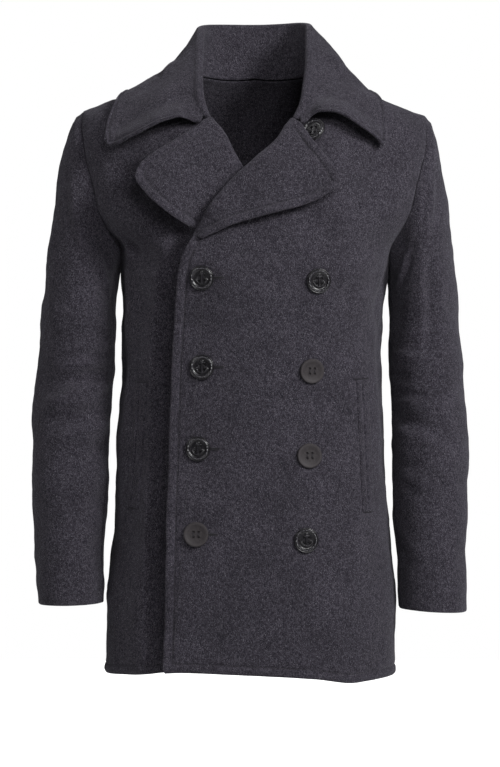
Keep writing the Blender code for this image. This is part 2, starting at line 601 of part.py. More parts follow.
def edge_angle(level, over):
    """Where a front's free edge, roll line or neckline lies at each level."""
    x = np.zeros_like(level)
    for _ in range(SEARCH_STEPS):
        angle = angle_at(x, level)
        point = surface(angle, level)
        if over:
            lap = lap_lift(point[..., 0], point[..., 2])
            point = point + surface_normal(angle, level) * lap[..., None]
        z = point[..., 2]
        x = x + front_end(z, over) - point[..., 0]
    return angle_at(x, level)


def shoulder_angles():
    """Angles along the shoulder seam from the neck to the tip, which both its pieces share."""
    neck = angle_at(np.array([TRUNK["centre"][-1] + NECK_REACH]), levels()[-1:])[0]
    return np.linspace(neck, 90.0, SHOULDER_COLUMNS + 1)


def build_front(name, over, rims, material):
    """One front from its free edge round to the side seam and armhole, up to the shoulder seam."""
    side = 1.0 if over else -1.0
    level = levels()
    start = edge_angle(level, over)
    start[-1] = angle_at(TRUNK["centre"][-1] + side * NECK_REACH, level[-1])
    end = side * cut_angle(level, "front_cut")
    share = np.linspace(0.0, 1.0, FRONT_COLUMNS + 1)
    angle = start[:, None] + (end - start)[:, None] * share
    height = np.broadcast_to(level[:, None], angle.shape)
    form = surface(angle, height)
    normal = surface_normal(angle, height)
    normal[-1] = unit(np.array([side * SHOULDER_SLOPE, 0.0, 1.0]))
    if over:
        form = form + normal * lap_lift(form[..., 0], form[..., 2])[..., None]
    inner = form - normal * WALL
    loop, inner_loop, out, _, _ = rims
    form[TRUNK_ROWS:, -1] = (loop - out * SEAM_GAP / 2)[:YOKE_ROWS + 1]
    inner[TRUNK_ROWS:, -1] = (inner_loop - out * SEAM_GAP / 2)[:YOKE_ROWS + 1]
    for grid in (form, inner):
        seam_points = grid[:TRUNK_ROWS + 1, -1]
        seam_points += unit(grid[:TRUNK_ROWS + 1, -2] - seam_points) * SEAM_GAP / 2
        grid[-1, :, 1] -= SEAM_GAP / 2
    wall(name, form, inner, material)


def neck_rise(x):
    """How far up the yoke the back ends: the shoulder seam, or lower at the back neck."""
    share = np.clip(np.abs(x - TRUNK["centre"][-1]) / NECK_REACH, 0.0, 1.0)
    depth = NECK_DEPTH_BACK * np.sqrt(1.0 - share ** 2)
    return (1.0 - (depth / TRUNK["back"][-1]) ** BACK_ROUND) ** (1.0 / BACK_ROUND)


def back_top():
    """The back's upper edge, column by column: angle from its centre, and level."""
    across = NECK_REACH * np.sin(np.pi * np.linspace(-0.5, 0.5, NECK_COLUMNS + 1))[1:-1]
    x = TRUNK["centre"][-1] + across
    neck_level = 1.0 + np.arccos(1.0 - 2.0 * neck_rise(x)) / np.pi
    shoulder = shoulder_angles()
    angle = np.concatenate([-shoulder[::-1], angle_at(x, neck_level), shoulder])
    level = np.full_like(angle, levels()[-1])
    level[len(shoulder):-len(shoulder)] = neck_level
    return angle, level


def build_back(rims_left, rims_right, material):
    top, top_level = back_top()
    level = levels()
    cut = cut_angle(level, "back_cut")
    angle = 180.0 - top[None, :] * (cut / 90.0)[:, None]
    height = np.where(level[:, None] > 1, 1 + (level[:, None] - 1) * (top_level - 1)[None], level[:, None])
    form = surface(angle, height)
    normal = surface_normal(angle, height)
    seam = np.abs(top) >= abs(top[SHOULDER_COLUMNS]) - 1e-6
    side = np.sign(top[seam])[:, None]
    normal[-1, seam] = unit(np.hstack([side * SHOULDER_SLOPE, 0 * side, 1 + 0 * side]))
    inner = form - normal * WALL
    for column, rims in ((0, rims_right), (-1, rims_left)):
        loop, inner_loop, out, _, _ = rims
        order = [YOKE_ROWS + k for k in range(YOKE_ROWS)] + [0]
        rows = slice(TRUNK_ROWS, None)
        form[rows, column] = (loop - out * SEAM_GAP / 2)[order][::-1]
        inner[rows, column] = (inner_loop - out * SEAM_GAP / 2)[order][::-1]
    for grid in (form, inner):
        for column, near in ((0, 1), (-1, -2)):
            seam_points = grid[:TRUNK_ROWS + 1, column]
            seam_points += unit(grid[:TRUNK_ROWS + 1, near] - seam_points) * SEAM_GAP / 2
        grid[-1, :, 1] += SEAM_GAP / 2
    wall("back", form, inner, material)


# ---------------------------------------------------------------- lapels
LAPEL_ROWS = 10
LAPEL_COLUMNS = 7
FOLD_STEPS = 5


def lapel_plan(over, rows, columns):
    """Front-view points of a lapel beyond its fold: rows along the roll, columns out to the edge."""
    low, top = (LAPEL_OVER_LOW, LAPEL_OVER_TOP) if over else (LAPEL_UNDER_LOW, LAPEL_UNDER_TOP)
    side = 1.0 if over else -1.0
    start = BREAK_HEIGHT if over else UNDER_BREAK_HEIGHT
    s, t = np.linspace(0, 1, rows + 1), np.linspace(0, 1, columns + 1)
    z = start + (GORGE_HEIGHT - start) * s
    roll = np.stack([edge_across(z, over), z], axis=-1)
    tangent = unit(np.gradient(roll, axis=0))
    away = np.stack([tangent[:, 1], -tangent[:, 0]], axis=-1) * side
    fold = roll + away * setback(z, over)[:, None]
    free, end = along(low, s), along(top, t)
    plan = fold[:, None] + (free - fold)[:, None] * t[None, :, None]
    corner = end - (fold[-1] + (free[-1] - fold[-1]) * t[:, None])
    plan = plan + corner[None] * (s ** 2)[:, None, None]
    return plan, away, z


def build_lapel(name, over, material):
    """Facing turned out along the roll line: a rounded fold, then the flap that lies on the front."""
    plan, away, z = lapel_plan(over, LAPEL_ROWS, LAPEL_COLUMNS)
    room = setback(z, over)
    radius = np.maximum(room - FLAP_WALL / 2, BREAK_RADIUS)[:, None]
    turn = np.radians(np.linspace(-90.0, 90.0, FOLD_STEPS + 1))[None, :-1]
    middle = -WALL / 2
    fold = plan[:, :1] - away[:, None] * (radius * np.cos(turn))[..., None]
    fold_lift = middle + radius + radius * np.sin(turn)
    share = np.linspace(0, 1, LAPEL_COLUMNS + 1)[None]
    beyond = edge_across(plan[..., 1], True) - plan[..., 0]
    free = 1.0 if over else ease(beyond, PRESSED_REACH[0], PRESSED_REACH[1])
    flat_lift = middle + 2 * radius + LAPEL_RISE * share ** RISE_POWER * free
    least = np.minimum(1.0, PRESSED_RISE[0] + PRESSED_RISE[1] * share)
    flat_lift = np.maximum(flat_lift, middle + 2 * PRESSED_RADIUS * least)
    points = np.concatenate([fold, plan], axis=1)
    lift = np.concatenate([np.broadcast_to(fold_lift, fold.shape[:2]), flat_lift], axis=1)
    centre, _ = on_front(points[..., 0], points[..., 1], lift, over)
    centre[:, 0] += unit(centre[:, 1] - centre[:, 0]) * ROLL_GAP
    normal = grid_normals(centre)
    wall(name, centre + normal * FLAP_WALL / 2, centre - normal * FLAP_WALL / 2, material)


# ---------------------------------------------------------------- collar
COLLAR_FRONT_COLUMNS = 7
FALL_ROWS = 9
STAND_ROWS = 3
END_BLEND = 0.70          # stations beyond which the fall follows the shape of its front end
SHOULDER_STATION = 0.5    # where the collar's foot passes the shoulder seams
FOLD_ARC = (180.0, 20.0)  # degrees over which the fold turns, from inside to outside
BOW_OUT = 0.5             # the fall's hump leans out this much for each unit up
NECK_MIDDLE = (0.005, 0.0, 0.02)


def neckline(station):
    """Point of the neck seam, the outward direction there, by the collar's station."""
    share = np.clip((np.abs(station) - SHOULDER_STATION) / (1.0 - SHOULDER_STATION), 0.0, 1.0)
    side = np.where(station < 0, -1.0, 1.0)
    low = GORGE_HEIGHT + GORGE_GAP
    tip = SHOULDER_HEIGHT - SHOULDER_SLOPE * NECK_REACH
    z = tip + (low - tip) * share
    points, normals = [], []
    for s, w, height in zip(station, side, z):
        if abs(s) > SHOULDER_STATION:
            over = w > 0
            x = front_end(np.array([height]), over)
            point, normal = on_front(x, np.array([height]), -WALL / 2, over)
        else:
            x = TRUNK["centre"][-1] + NECK_REACH * np.sin(np.pi / 2 * s / SHOULDER_STATION)
            level = 1.0 + np.arccos(1.0 - 2.0 * neck_rise(np.array([x]))) / np.pi
            angle = 180.0 - angle_at(np.array([x]), level)
            normal = surface_normal(angle, level)
            point = surface(angle, level) - normal * WALL / 2
        points.append(point[0])
        normals.append(normal[0])
    return np.array(points), np.array(normals)


def end_offset(station, shares, straight):
    """Shift that bends the collar's front ends to the shape of their lower edge."""
    shift = np.zeros(straight.shape)
    for end, column in ((COLLAR_END_RIGHT, 0), (COLLAR_END_LEFT, -1)):
        side = np.sign(station[column])
        weight = np.clip((side * station - END_BLEND) / (1.0 - END_BLEND), 0.0, 1.0) ** 2
        start = straight[0, column]
        path = {"across": np.append(start[0], end["across"]), "height": np.append(start[2], end["height"])}
        shape = along(path, shares)
        shift[..., 0] += (shape[:, :1] - straight[:, column, :1]) * weight
        shift[..., 2] += (shape[:, 1:] - straight[:, column, 2:]) * weight
    return shift


def build_collar(material):
    """Stand up from the neck seam, a rounded fold, and the wide fall down to its free edge."""
    front_run = np.linspace(-1.0, -SHOULDER_STATION, COLLAR_FRONT_COLUMNS + 1)
    back_run = np.linspace(-SHOULDER_STATION, SHOULDER_STATION, NECK_COLUMNS + 1)
    station = np.concatenate([front_run, back_run[1:-1], -front_run[::-1]])
    part = {name: curve(COLLAR["station"], COLLAR[name], station) for name in COLLAR}
    roll = np.stack([part["roll_x"], part["roll_y"], part["roll_z"]], axis=-1)
    edge = np.stack([part["edge_x"], part["edge_y"], part["edge_z"]], axis=-1)
    seam, normal = neckline(station)
    tangent = unit(np.gradient(seam, axis=0))
    inward = unit(np.cross(normal, tangent))
    inward *= np.sign(np.sum(inward * (np.array(NECK_MIDDLE) - seam), axis=-1, keepdims=True))
    foot = seam + inward * (FLAP_WALL / 2 + NECK_GAP)
    out = unit((edge - roll) * np.array([1.0, 1.0, 0.0]))
    up = np.array([0.0, 0.0, 1.0])
    crest = unit(np.cross(out, np.gradient(roll, axis=0)))
    crest *= np.sign(crest @ (up - [0.0, 1.0, 0.0]))[:, None]
    hub = roll + out * COLLAR_RADIUS - crest * COLLAR_RADIUS
    rows = [foot + (hub - out * COLLAR_RADIUS - foot) * k / STAND_ROWS for k in range(STAND_ROWS)]
    for degrees in np.linspace(*FOLD_ARC, FOLD_STEPS + 1):
        turn = np.radians(degrees)
        rows.append(hub + COLLAR_RADIUS * (np.cos(turn) * out + np.sin(turn) * crest))
    shares = np.linspace(0.0, 1.0, FALL_ROWS + 1)
    straight = rows[-1][None] + (edge - rows[-1])[None] * shares[:, None, None]
    bow = part["hump"][None] * np.sin(np.pi * shares)[:, None]
    fall = straight + (out * BOW_OUT + up)[None] * bow[..., None] + end_offset(station, shares, straight)
    centre = np.concatenate([np.array(rows[:-1]), fall])
    over_front = STAND_ROWS + FOLD_STEPS - 1
    centre[over_front:] = clear_of_body(centre[over_front:], COLLAR_CLEARANCE)
    normals = grid_normals(centre)
    wall("collar", centre + normals * FLAP_WALL / 2, centre - normals * FLAP_WALL / 2, material)


# ---------------------------------------------------------------- pockets and buttons
WELT_ROWS = 8


def build_welt(row, material):
    """Welt of a hand-warmer pocket, a strip stitched on the front."""
    side = WELTS["side"][row]
    t = np.linspace(0, 1, WELT_ROWS + 1)[:, None]
    across = np.array([-0.5, 0.5])[None] * WELT_WIDTH
    x = WELTS["top_across"][row] + (WELTS["low_across"][row] - WELTS["top_across"][row]) * t + across
    z = WELTS["top_height"][row] + (WELTS["low_height"][row] - WELTS["top_height"][row]) * t + 0 * across
    inner, _ = on_front(x, z, WELT_GAP, side > 0)
    outer, _ = on_front(x, z, WELT_GAP + WELT_WALL, side > 0)
    wall("pocket_welt_left" if side > 0 else "pocket_welt_right", outer, inner, material)


def build_button(name, x, z, kind, seat, material):
    """Turned button with a raised rim, lying on the front."""
    spread = BUTTON_RADIUS * np.array([[0.0, 0.0], [1.0, 0.0], [-1.0, 0.0], [0.0, 1.0], [0.0, -1.0]])
    points, _ = on_front(x + spread[:, 0], z + spread[:, 1], seat, True)
    point = points[0]
    facing = unit(np.cross(points[1] - points[2], points[3] - points[4]))
    profile = BUTTON_PROFILES[kind]
    mesh = bmesh.new()
    rings = []
    for share, height in profile:
        radius = share * BUTTON_RADIUS
        count = BUTTON_STEPS if radius > 0 else 1
        turns = np.linspace(0, 2 * np.pi, count, endpoint=False)
        rings.append([mesh.verts.new((radius * np.cos(a), radius * np.sin(a), height * BUTTON_RADIUS))
                      for a in turns])
    for first, second in zip(rings, rings[1:]):
        for k in range(BUTTON_STEPS):
            a, b = first[k % len(first)], first[(k + 1) % len(first)]
            c, d = second[(k + 1) % len(second)], second[k % len(second)]
            corners = [v for n, v in enumerate((a, b, c, d)) if v not in (a, b, c, d)[:n]]
            mesh.faces.new(corners)
    part = add_object(name, mesh, material)
    part.location = Vector(point)
    part.rotation_euler = Vector(facing).to_track_quat("Z", "Y").to_euler()


# ---------------------------------------------------------------- the coat
for old in list(bpy.data.objects):
    bpy.data.objects.remove(old, do_unlink=True)
coat = bpy.data.collections.new("pea_coat")
bpy.context.scene.collection.children.link(coat)

melton = make_material("wool_melton", WOOL, 0.95)
melton_under = make_material("wool_melton_under", WOOL_DARK, 0.95)
horn = make_material("button_horn", HORN, 0.45)

left_rims = armhole_rims(1.0)
right_rims = armhole_rims(-1.0)
build_front("front_over", True, left_rims, melton)
build_front("front_under", False, right_rims, melton)
build_back(left_rims, right_rims, melton)
build_sleeve(1.0, left_rims, melton)
build_sleeve(-1.0, right_rims, melton)
build_lapel("lapel_over", True, melton_under)
build_lapel("lapel_under", False, melton_under)
build_collar(melton_under)
for welt in range(len(WELTS["side"])):
    build_welt(welt, melton_under)
for button in BUTTONS[1:]:
    build_button(*button, horn)
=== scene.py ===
"""The looks of the double-breasted pea coat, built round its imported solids.

Metres, +Z up.  The coat's front faces -Y and +X is the wearer's left.  Each piece of cloth repeats the
form of its solid with fine points, and gets creases, rounded edges, seams and stitching.
"""

import bpy
import numpy as np
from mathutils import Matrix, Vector
from mathutils.bvhtree import BVHTree
from mathutils.kdtree import KDTree


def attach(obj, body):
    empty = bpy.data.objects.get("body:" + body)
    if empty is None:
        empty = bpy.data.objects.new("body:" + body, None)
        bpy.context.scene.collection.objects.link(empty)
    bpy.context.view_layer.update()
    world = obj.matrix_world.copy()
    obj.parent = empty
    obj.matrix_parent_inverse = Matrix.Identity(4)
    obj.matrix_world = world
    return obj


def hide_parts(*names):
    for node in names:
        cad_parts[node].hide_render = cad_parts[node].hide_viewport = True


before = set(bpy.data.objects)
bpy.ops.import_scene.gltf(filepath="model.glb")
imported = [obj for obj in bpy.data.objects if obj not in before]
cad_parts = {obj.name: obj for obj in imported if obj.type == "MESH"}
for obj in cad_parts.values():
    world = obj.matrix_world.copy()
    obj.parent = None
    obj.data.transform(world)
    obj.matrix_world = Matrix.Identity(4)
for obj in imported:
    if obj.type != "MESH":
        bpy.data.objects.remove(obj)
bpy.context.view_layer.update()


# ---------------------------------------------------------------- driving dimensions
WALL = 0.003              # one layer of melton cloth
FLAP_WALL = 0.004         # collar and lapels, two layers pressed together
SEAM_GAP = 0.00004        # between the pieces at a seam
SLEEVE_GAP = 0.0005       # a sleeve's side of the armhole seam
ROLL_GAP = 0.0011         # from a front's end to the lapel's fold round it
FACET_GAP = 0.0008        # more, because the front's end is straight between its points
FACET_BLEND = (-0.012, 0.002)  # heights from the break over which it is added
NECK_GAP = 0.0004         # between the neck seam and the collar's foot
ARMPIT_HEIGHT = -0.235
SHOULDER_HEIGHT = 0.0546  # where the two shoulder lines would meet over the neck
SHOULDER_SLOPE = 0.368
NECK_REACH = 0.085        # neck end of the shoulder seam from the centre line
NECK_DEPTH_BACK = 0.068   # back neck seam behind the shoulder line
FRONT_ROUND = 2.3         # side view of the shoulder, 2 is an ellipse
BACK_ROUND = 2.6
HEM_FADE = 0.4            # share of the trunk over which the hem's unevenness fades out

ROLL_RADIUS = 0.004       # fold of a lapel, at the middle of its cloth
PRESSED_RADIUS = 0.003    # the same where the over-front presses on the under-front's lapel
PRESSED_TOP = (-0.110, -0.070)  # heights over which the under-front's fold comes free
BREAK_BLEND = (-0.010, 0.030)   # heights from the break over which a front starts to leave room for it
PRESSED_REACH = (0.006, 0.035)  # from where to where the under-front's lapel comes free of the over-front
BREAK_RADIUS = 0.0024     # the same where the roll runs out into the front edge
BREAKS = {True: -0.1935, False: -0.200}  # heights where the over-front and the under-front start to roll
GORGE_HEIGHT = -0.042     # collar ends and lapels meet here
GORGE_GAP = 0.0015
COLLAR_RADIUS = 0.0045
COLLAR_CLEARANCE = 0.0040 # middle of the collar's cloth above the body
LAPEL_RISE = 0.005        # how far a lapel's free edge stands off
RISE_POWER = 1.5          # it curves up towards the edge
PRESSED_RISE = (0.8, 2.0) # least height of a lapel in pressed folds: at the roll, and more to the edge

TRUNK_LENGTH = 0.53       # from hem to armpit
TRUNK_STEPS = 84          # rows above the hem's band
TRUNK_ROWS = 100          # up to the armpit, with the band's 17
YOKE_ROWS = 64            # up to the shoulder seam, with its band's 4
FRONT_COLUMNS = 130
SHOULDER_COLUMNS = 40
NECK_COLUMNS = 60
SLEEVE_RINGS = np.linspace(0.0, 12.0, 145)  # in rows of the sleeve tables
SETTLE_STEPS = 5          # rounds that fit a lifted point to its place as seen from the front
SEARCH_STEPS = 22         # rounds that find a height on the form, or an edge
SLOPE_STEP = 0.002        # for measuring how an edge slants


def table(names, *rows):
    """Columns of a table by name."""
    return dict(zip(names, np.array(rows, float).T.copy()))


def outline(*rows):
    """Points as seen from the front."""
    return table(("across", "height"), *rows)


# Level sections of the body from hem to armpit; depths are measured from the shoulder line.
TRUNK = table(
    ("height", "half_width", "front", "back", "roundness", "centre"),
    (-0.765, 0.1930, 0.138, 0.134, 2.5, -0.001),
    (-0.678, 0.1925, 0.136, 0.132, 2.5, 0.001),
    (-0.611, 0.1862, 0.132, 0.126, 2.5, 0.002),
    (-0.545, 0.1797, 0.127, 0.116, 2.5, 0.002),
    (-0.478, 0.1772, 0.123, 0.107, 2.4, 0.002),
    (-0.412, 0.1750, 0.122, 0.102, 2.4, 0.002),
    (-0.345, 0.1735, 0.125, 0.106, 2.4, 0.003),
    (-0.285, 0.1745, 0.129, 0.114, 2.4, 0.004),
    (-0.235, 0.1780, 0.131, 0.121, 2.4, 0.006),
)

# How far the hem hangs below its level, round the body from the back over the wearer's right side.
HEM = table(
    ("angle", "droop"),
    (-180.0, 0.000), (-98.0, 0.005), (-50.0, 0.001), (-20.0, -0.006), (20.0, 0.002), (38.0, 0.009),
    (60.0, 0.007), (98.0, 0.005), (180.0, 0.000), (262.0, 0.005),
)

# From the armpit (rise 0) up to the shoulder seam (rise 1): the body's reach to the side, and where the
# armhole cuts it, in degrees round from the front centre and from the back centre.
YOKE = table(
    ("rise", "half_width", "roundness", "front_cut", "back_cut"),
    (0.00, 0.1780, 2.4, 98.0, 82.0),
    (0.03, 0.1785, 2.4, 85.0, 77.0),
    (0.06, 0.1798, 2.4, 80.0, 73.0),
    (0.10, 0.1832, 2.4, 76.5, 70.0),
    (0.15, 0.1905, 2.4, 74.0, 67.3),
    (0.20, 0.1990, 2.4, 72.0, 65.0),
    (0.33, 0.2170, 2.5, 67.5, 61.0),
    (0.47, 0.2245, 2.6, 66.5, 60.5),
    (0.60, 0.2280, 2.8, 69.0, 62.5),
    (0.73, 0.2300, 3.2, 72.0, 66.0),
    (0.85, 0.2310, 3.8, 74.5, 70.0),
    (0.95, 0.2295, 4.6, 77.0, 74.0),
    (1.00, 0.2270, 4.8, 90.0, 90.0),
)

# Largest folds of the body: from and to, in degrees round and by level, with the half width and how far
# each stands out, or dips where it is negative.
DEGREE_LENGTH = 0.0026    # of a degree round the body, on average
LEVEL_LENGTH = 0.50       # from one level to the next
FOLD_FADE = (-0.15, 0.25, 0.70, 1.15)  # shares of a fold's length where it starts, is full, and ends
YOKE_LEVEL = 0.39         # length of the yoke in the folds' measure
FOLDS = table(
    ("angle", "level", "to_angle", "to_level", "width", "depth"),
    (-57.0, 1.080, -30.0, 1.014, 0.012, 0.0030),
    (-62.0, 1.028, -32.0, 1.000, 0.017, -0.0030),
    (-80.0, 1.00, -76.0, 0.60, 0.015, -0.0045),
    (82.0, 1.00, 64.0, 0.86, 0.013, -0.0045),
    (74.0, 0.90, 78.0, 0.45, 0.016, -0.0035),
    (14.0, 0.25, 34.0, 0.09, 0.014, 0.0025),
    (146.0, 1.135, 158.0, 0.60, 0.022, -0.0045),
    (214.0, 1.135, 202.0, 0.60, 0.022, -0.0045),
    (168.0, 0.62, 176.0, 0.06, 0.024, 0.0040),
    (232.0, 0.80, 222.0, 0.40, 0.018, -0.0035),
    (128.0, 0.80, 138.0, 0.40, 0.018, -0.0035),
)

# Largest folds of the sleeves: side, from and to by row of the sleeve table and by degrees round from the
# inner side over the front, with the half width and the depth.
TURN_LENGTH = 0.0010      # of a degree round the sleeve
ROW_LENGTH = 0.066
SLEEVE_FOLDS = table(
    ("side", "row", "turn", "to_row", "to_turn", "width", "depth"),
    (-1, 7.25, 35.0, 7.75, 150.0, 0.012, -0.0045),
    (-1, 7.60, 40.0, 8.15, 140.0, 0.011, 0.0030),
    (-1, 8.00, 25.0, 8.50, 130.0, 0.012, -0.0040),
    (-1, 8.80, 15.0, 9.25, 105.0, 0.014, -0.0035),
    (-1, 9.90, 15.0, 10.40, 80.0, 0.014, -0.0030),
    (-1, 7.60, 225.0, 8.20, 300.0, 0.014, 0.0035),
    (1, 4.60, 96.0, 7.10, 90.0, 0.015, -0.0035),
    (1, 7.30, 15.0, 7.90, 95.0, 0.014, -0.0045),
    (1, 8.15, 10.0, 8.65, 115.0, 0.012, -0.0035),
    (1, 9.30, 15.0, 10.00, 115.0, 0.013, -0.0040),
    (1, 7.60, 225.0, 8.20, 300.0, 0.014, 0.0035),
)

# Front edges as seen from the front, from the hem up over the roll line to the shoulder seam.
EDGES = {True: table(
    ("height", "across"),
    (-0.7650, -0.0995), (-0.7610, -0.1060), (-0.7520, -0.1100), (-0.6660, -0.1072),
    (-0.5400, -0.1046), (-0.4490, -0.1027), (-0.3345, -0.0976), (-0.2640, -0.0925),
    (-0.2320, -0.0874), (-0.2070, -0.0759), (-0.1935, -0.0678), (-0.1717, -0.0575),
    (-0.1350, -0.0280), (-0.0977, 0.0128), (-0.0755, 0.0385), (-0.0530, 0.0525),
    (-0.0377, 0.0606), (-0.0100, 0.0775), (0.0100, 0.0870), (0.0233, 0.0910),
), False: table(
    ("height", "across"),
    (-0.7650, 0.1000), (-0.5000, 0.0950), (-0.3500, 0.0880), (-0.2600, 0.0700),
    (-0.2000, 0.0383), (-0.1560, 0.0154), (-0.1150, -0.0090), (-0.0918, -0.0232),
    (-0.0725, -0.0335), (-0.0532, -0.0477), (-0.0351, -0.0567), (-0.0100, -0.0665),
    (0.0100, -0.0760), (0.0233, -0.0790),
)}

# Free edges of the lapels as seen from the front, out from the break, and down from the gorge.
LAPELS = {True: (outline(
    (-0.0610, -0.2040), (-0.0420, -0.1970), (-0.0217, -0.1881), (0.0000, -0.1817), (0.0344, -0.1728),
    (0.0637, -0.1651), (0.0841, -0.1575), (0.1010, -0.1473), (0.1125, -0.1400), (0.1150, -0.1330),
), outline(
    (0.0560, -0.0460), (0.0680, -0.0600), (0.0790, -0.0772), (0.0955, -0.0989), (0.1085, -0.1190),
    (0.1150, -0.1330),
)), False: (outline(
    (0.0200, -0.2050), (-0.0255, -0.2060), (-0.0675, -0.1944), (-0.0956, -0.1792), (-0.1210, -0.1588),
    (-0.1420, -0.1355), (-0.1470, -0.1250),
), outline(
    (-0.0530, -0.0440), (-0.0662, -0.0580), (-0.0892, -0.0734), (-0.1147, -0.0900), (-0.1401, -0.1091),
    (-0.1470, -0.1250),
))}

# Stations round the collar, -1 and 1 at the gorges and 0 at the back: its fold and its free edge.
COLLAR = table(
    ("station", "roll_x", "roll_y", "roll_z", "edge_x", "edge_y", "edge_z", "hump"),
    (-1.00, -0.0525, -0.107, -0.0470, -0.1880, -0.086, -0.0740, 0.000),
    (-0.94, -0.0600, -0.099, -0.0250, -0.1880, -0.081, -0.0660, 0.003),
    (-0.86, -0.0625, -0.084, -0.0040, -0.1870, -0.074, -0.0560, 0.006),
    (-0.72, -0.0630, -0.055, 0.0260, -0.1770, -0.052, -0.0300, 0.002),
    (-0.58, -0.0630, -0.020, 0.0600, -0.1640, -0.012, -0.0020, -0.004),
    (-0.42, -0.0630, 0.022, 0.0860, -0.1420, 0.045, -0.0010, -0.006),
    (-0.22, -0.0430, 0.068, 0.0960, -0.0820, 0.087, -0.0040, 0.000),
    (0.00, 0.0050, 0.082, 0.0980, 0.0050, 0.100, -0.0060, 0.002),
    (0.22, 0.0530, 0.068, 0.0980, 0.0920, 0.087, -0.0040, 0.000),
    (0.42, 0.0750, 0.022, 0.0900, 0.1390, 0.045, -0.0020, 0.008),
    (0.58, 0.0745, -0.020, 0.0620, 0.1580, -0.012, 0.0010, 0.004),
    (0.72, 0.0730, -0.055, 0.0270, 0.1700, -0.052, -0.0390, 0.004),
    (0.86, 0.0690, -0.084, -0.0060, 0.1735, -0.074, -0.0560, 0.006),
    (0.94, 0.0660, -0.099, -0.0270, 0.1755, -0.082, -0.0680, 0.003),
    (1.00, 0.0555, -0.108, -0.0500, 0.1760, -0.088, -0.0760, 0.000),
)

# Front ends of the collar's fall by its column, right and left, from the notch below its fold along the
# lower edge to the point.
COLLAR_ENDS = {0: outline(
    (-0.0640, -0.0565), (-0.0710, -0.0565), (-0.0790, -0.0527), (-0.0903, -0.0500), (-0.1032, -0.0532),
    (-0.1288, -0.0652), (-0.1546, -0.0770), (-0.1700, -0.0828), (-0.1816, -0.0835), (-0.1880, -0.0745),
), -1: outline(
    (0.0640, -0.0590), (0.0705, -0.0575), (0.0795, -0.0480), (0.0902, -0.0430), (0.1030, -0.0428),
    (0.1160, -0.0462), (0.1417, -0.0586), (0.1610, -0.0692), (0.1710, -0.0785), (0.1755, -0.0735),
)}

# Sleeve sections from the armhole to the cuff: the middle's place front to back, the half depth, and how far
# the section still follows the armhole; then for each side its outer and inner side as seen from the front.
SLEEVE_SHAPE = table(
    ("mid_y", "half_depth", "armhole"),
    (0.004, 0.066, 1.00),
    (0.004, 0.068, 0.86),
    (0.004, 0.070, 0.60),
    (0.004, 0.071, 0.34),
    (0.003, 0.071, 0.15),
    (0.003, 0.070, 0.04),
    (0.003, 0.067, 0.00),
    (0.002, 0.063, 0.00),
    (-0.002, 0.060, 0.00),
    (-0.009, 0.057, 0.00),
    (-0.017, 0.054, 0.00),
    (-0.026, 0.052, 0.00),
    (-0.034, 0.051, 0.00),
)
SLEEVES = {-1: table(
    ("outer_x", "outer_z", "inner_x", "inner_z"),
    (-0.2210, -0.0289, -0.1720, -0.2350),
    (-0.2330, -0.0440, -0.1745, -0.2400),
    (-0.2420, -0.0728, -0.1758, -0.2450),
    (-0.2520, -0.1080, -0.1765, -0.2520),
    (-0.2600, -0.1480, -0.1770, -0.2640),
    (-0.2690, -0.2060, -0.1775, -0.2860),
    (-0.2755, -0.2790, -0.1780, -0.3200),
    (-0.2810, -0.3455, -0.1785, -0.3640),
    (-0.2870, -0.4120, -0.1825, -0.4200),
    (-0.2905, -0.4785, -0.1885, -0.4800),
    (-0.2880, -0.5450, -0.1890, -0.5450),
    (-0.2830, -0.6115, -0.1910, -0.6110),
    (-0.2780, -0.6790, -0.1920, -0.6770),
), 1: table(
    ("outer_x", "outer_z", "inner_x", "inner_z"),
    (0.2330, -0.0289, 0.1840, -0.2350),
    (0.2430, -0.0460, 0.1845, -0.2400),
    (0.2490, -0.0740, 0.1848, -0.2450),
    (0.2545, -0.1080, 0.1850, -0.2520),
    (0.2610, -0.1480, 0.1850, -0.2640),
    (0.2685, -0.2060, 0.1845, -0.2860),
    (0.2755, -0.2790, 0.1830, -0.3200),
    (0.2800, -0.3455, 0.1825, -0.3640),
    (0.2860, -0.4120, 0.1870, -0.4200),
    (0.2895, -0.4785, 0.1880, -0.4800),
    (0.2875, -0.5450, 0.1880, -0.5450),
    (0.2845, -0.6115, 0.1925, -0.6110),
    (0.2830, -0.6890, 0.1960, -0.6840),
)}
FRONT_SLEEVE_SEAM = 5     # loop steps from the armpit to the two sleeve seams
BACK_SLEEVE_SEAM = 20
SHARPEST_MITRE = 0.6      # of the wall along the armhole, so that it doesn't grow too deep

# Pocket openings on each front, down the middle of the welt.
WELT_WIDTH = 0.016
WELTS = table(
    ("side", "top_across", "top_height", "low_across", "low_height"),
    (-1, -0.1400, -0.3880, -0.1520, -0.5520),
    (1, 0.1450, -0.3840, 0.1530, -0.5560),
)

# Buttons where they are sewn, as seen from the front.
BUTTON_RADIUS = 0.0161
BUTTONS = (
    ("button_1_right", -0.0612, -0.2554, "roped"),
    ("button_1_left", 0.0874, -0.2592, "roped"),
    ("button_2_right", -0.0612, -0.3690, "roped"),
    ("button_2_left", 0.0791, -0.3741, "plain"),
    ("button_3_right", -0.0663, -0.4736, "roped"),
    ("button_3_left", 0.0759, -0.4825, "plain"),
    ("button_4_right", -0.0689, -0.5827, "plain"),
    ("button_4_left", 0.0715, -0.5897, "roped"),
    ("button_collar", 0.0846, -0.0688, "roped"),
)
# Depth of the over-front's layer above the body where the under-front lies beneath it.
LAP_LOW = 0.0060
LAP_HIGH = 0.0118
LAP_FLARE = 0.0030
LAP_ACROSS = (0.105, 0.170)      # where it comes down to the body, beside the under-front
LAP_TOP = (-0.130, -0.040)       # and above it
LAP_ROLLED = (-0.330, -0.235)    # where the under-front's lapel adds to the layers
FLARE_ACROSS = (-0.115, -0.070)  # the free edge stands off a little more
FLARE_TOP = (-0.270, -0.220)

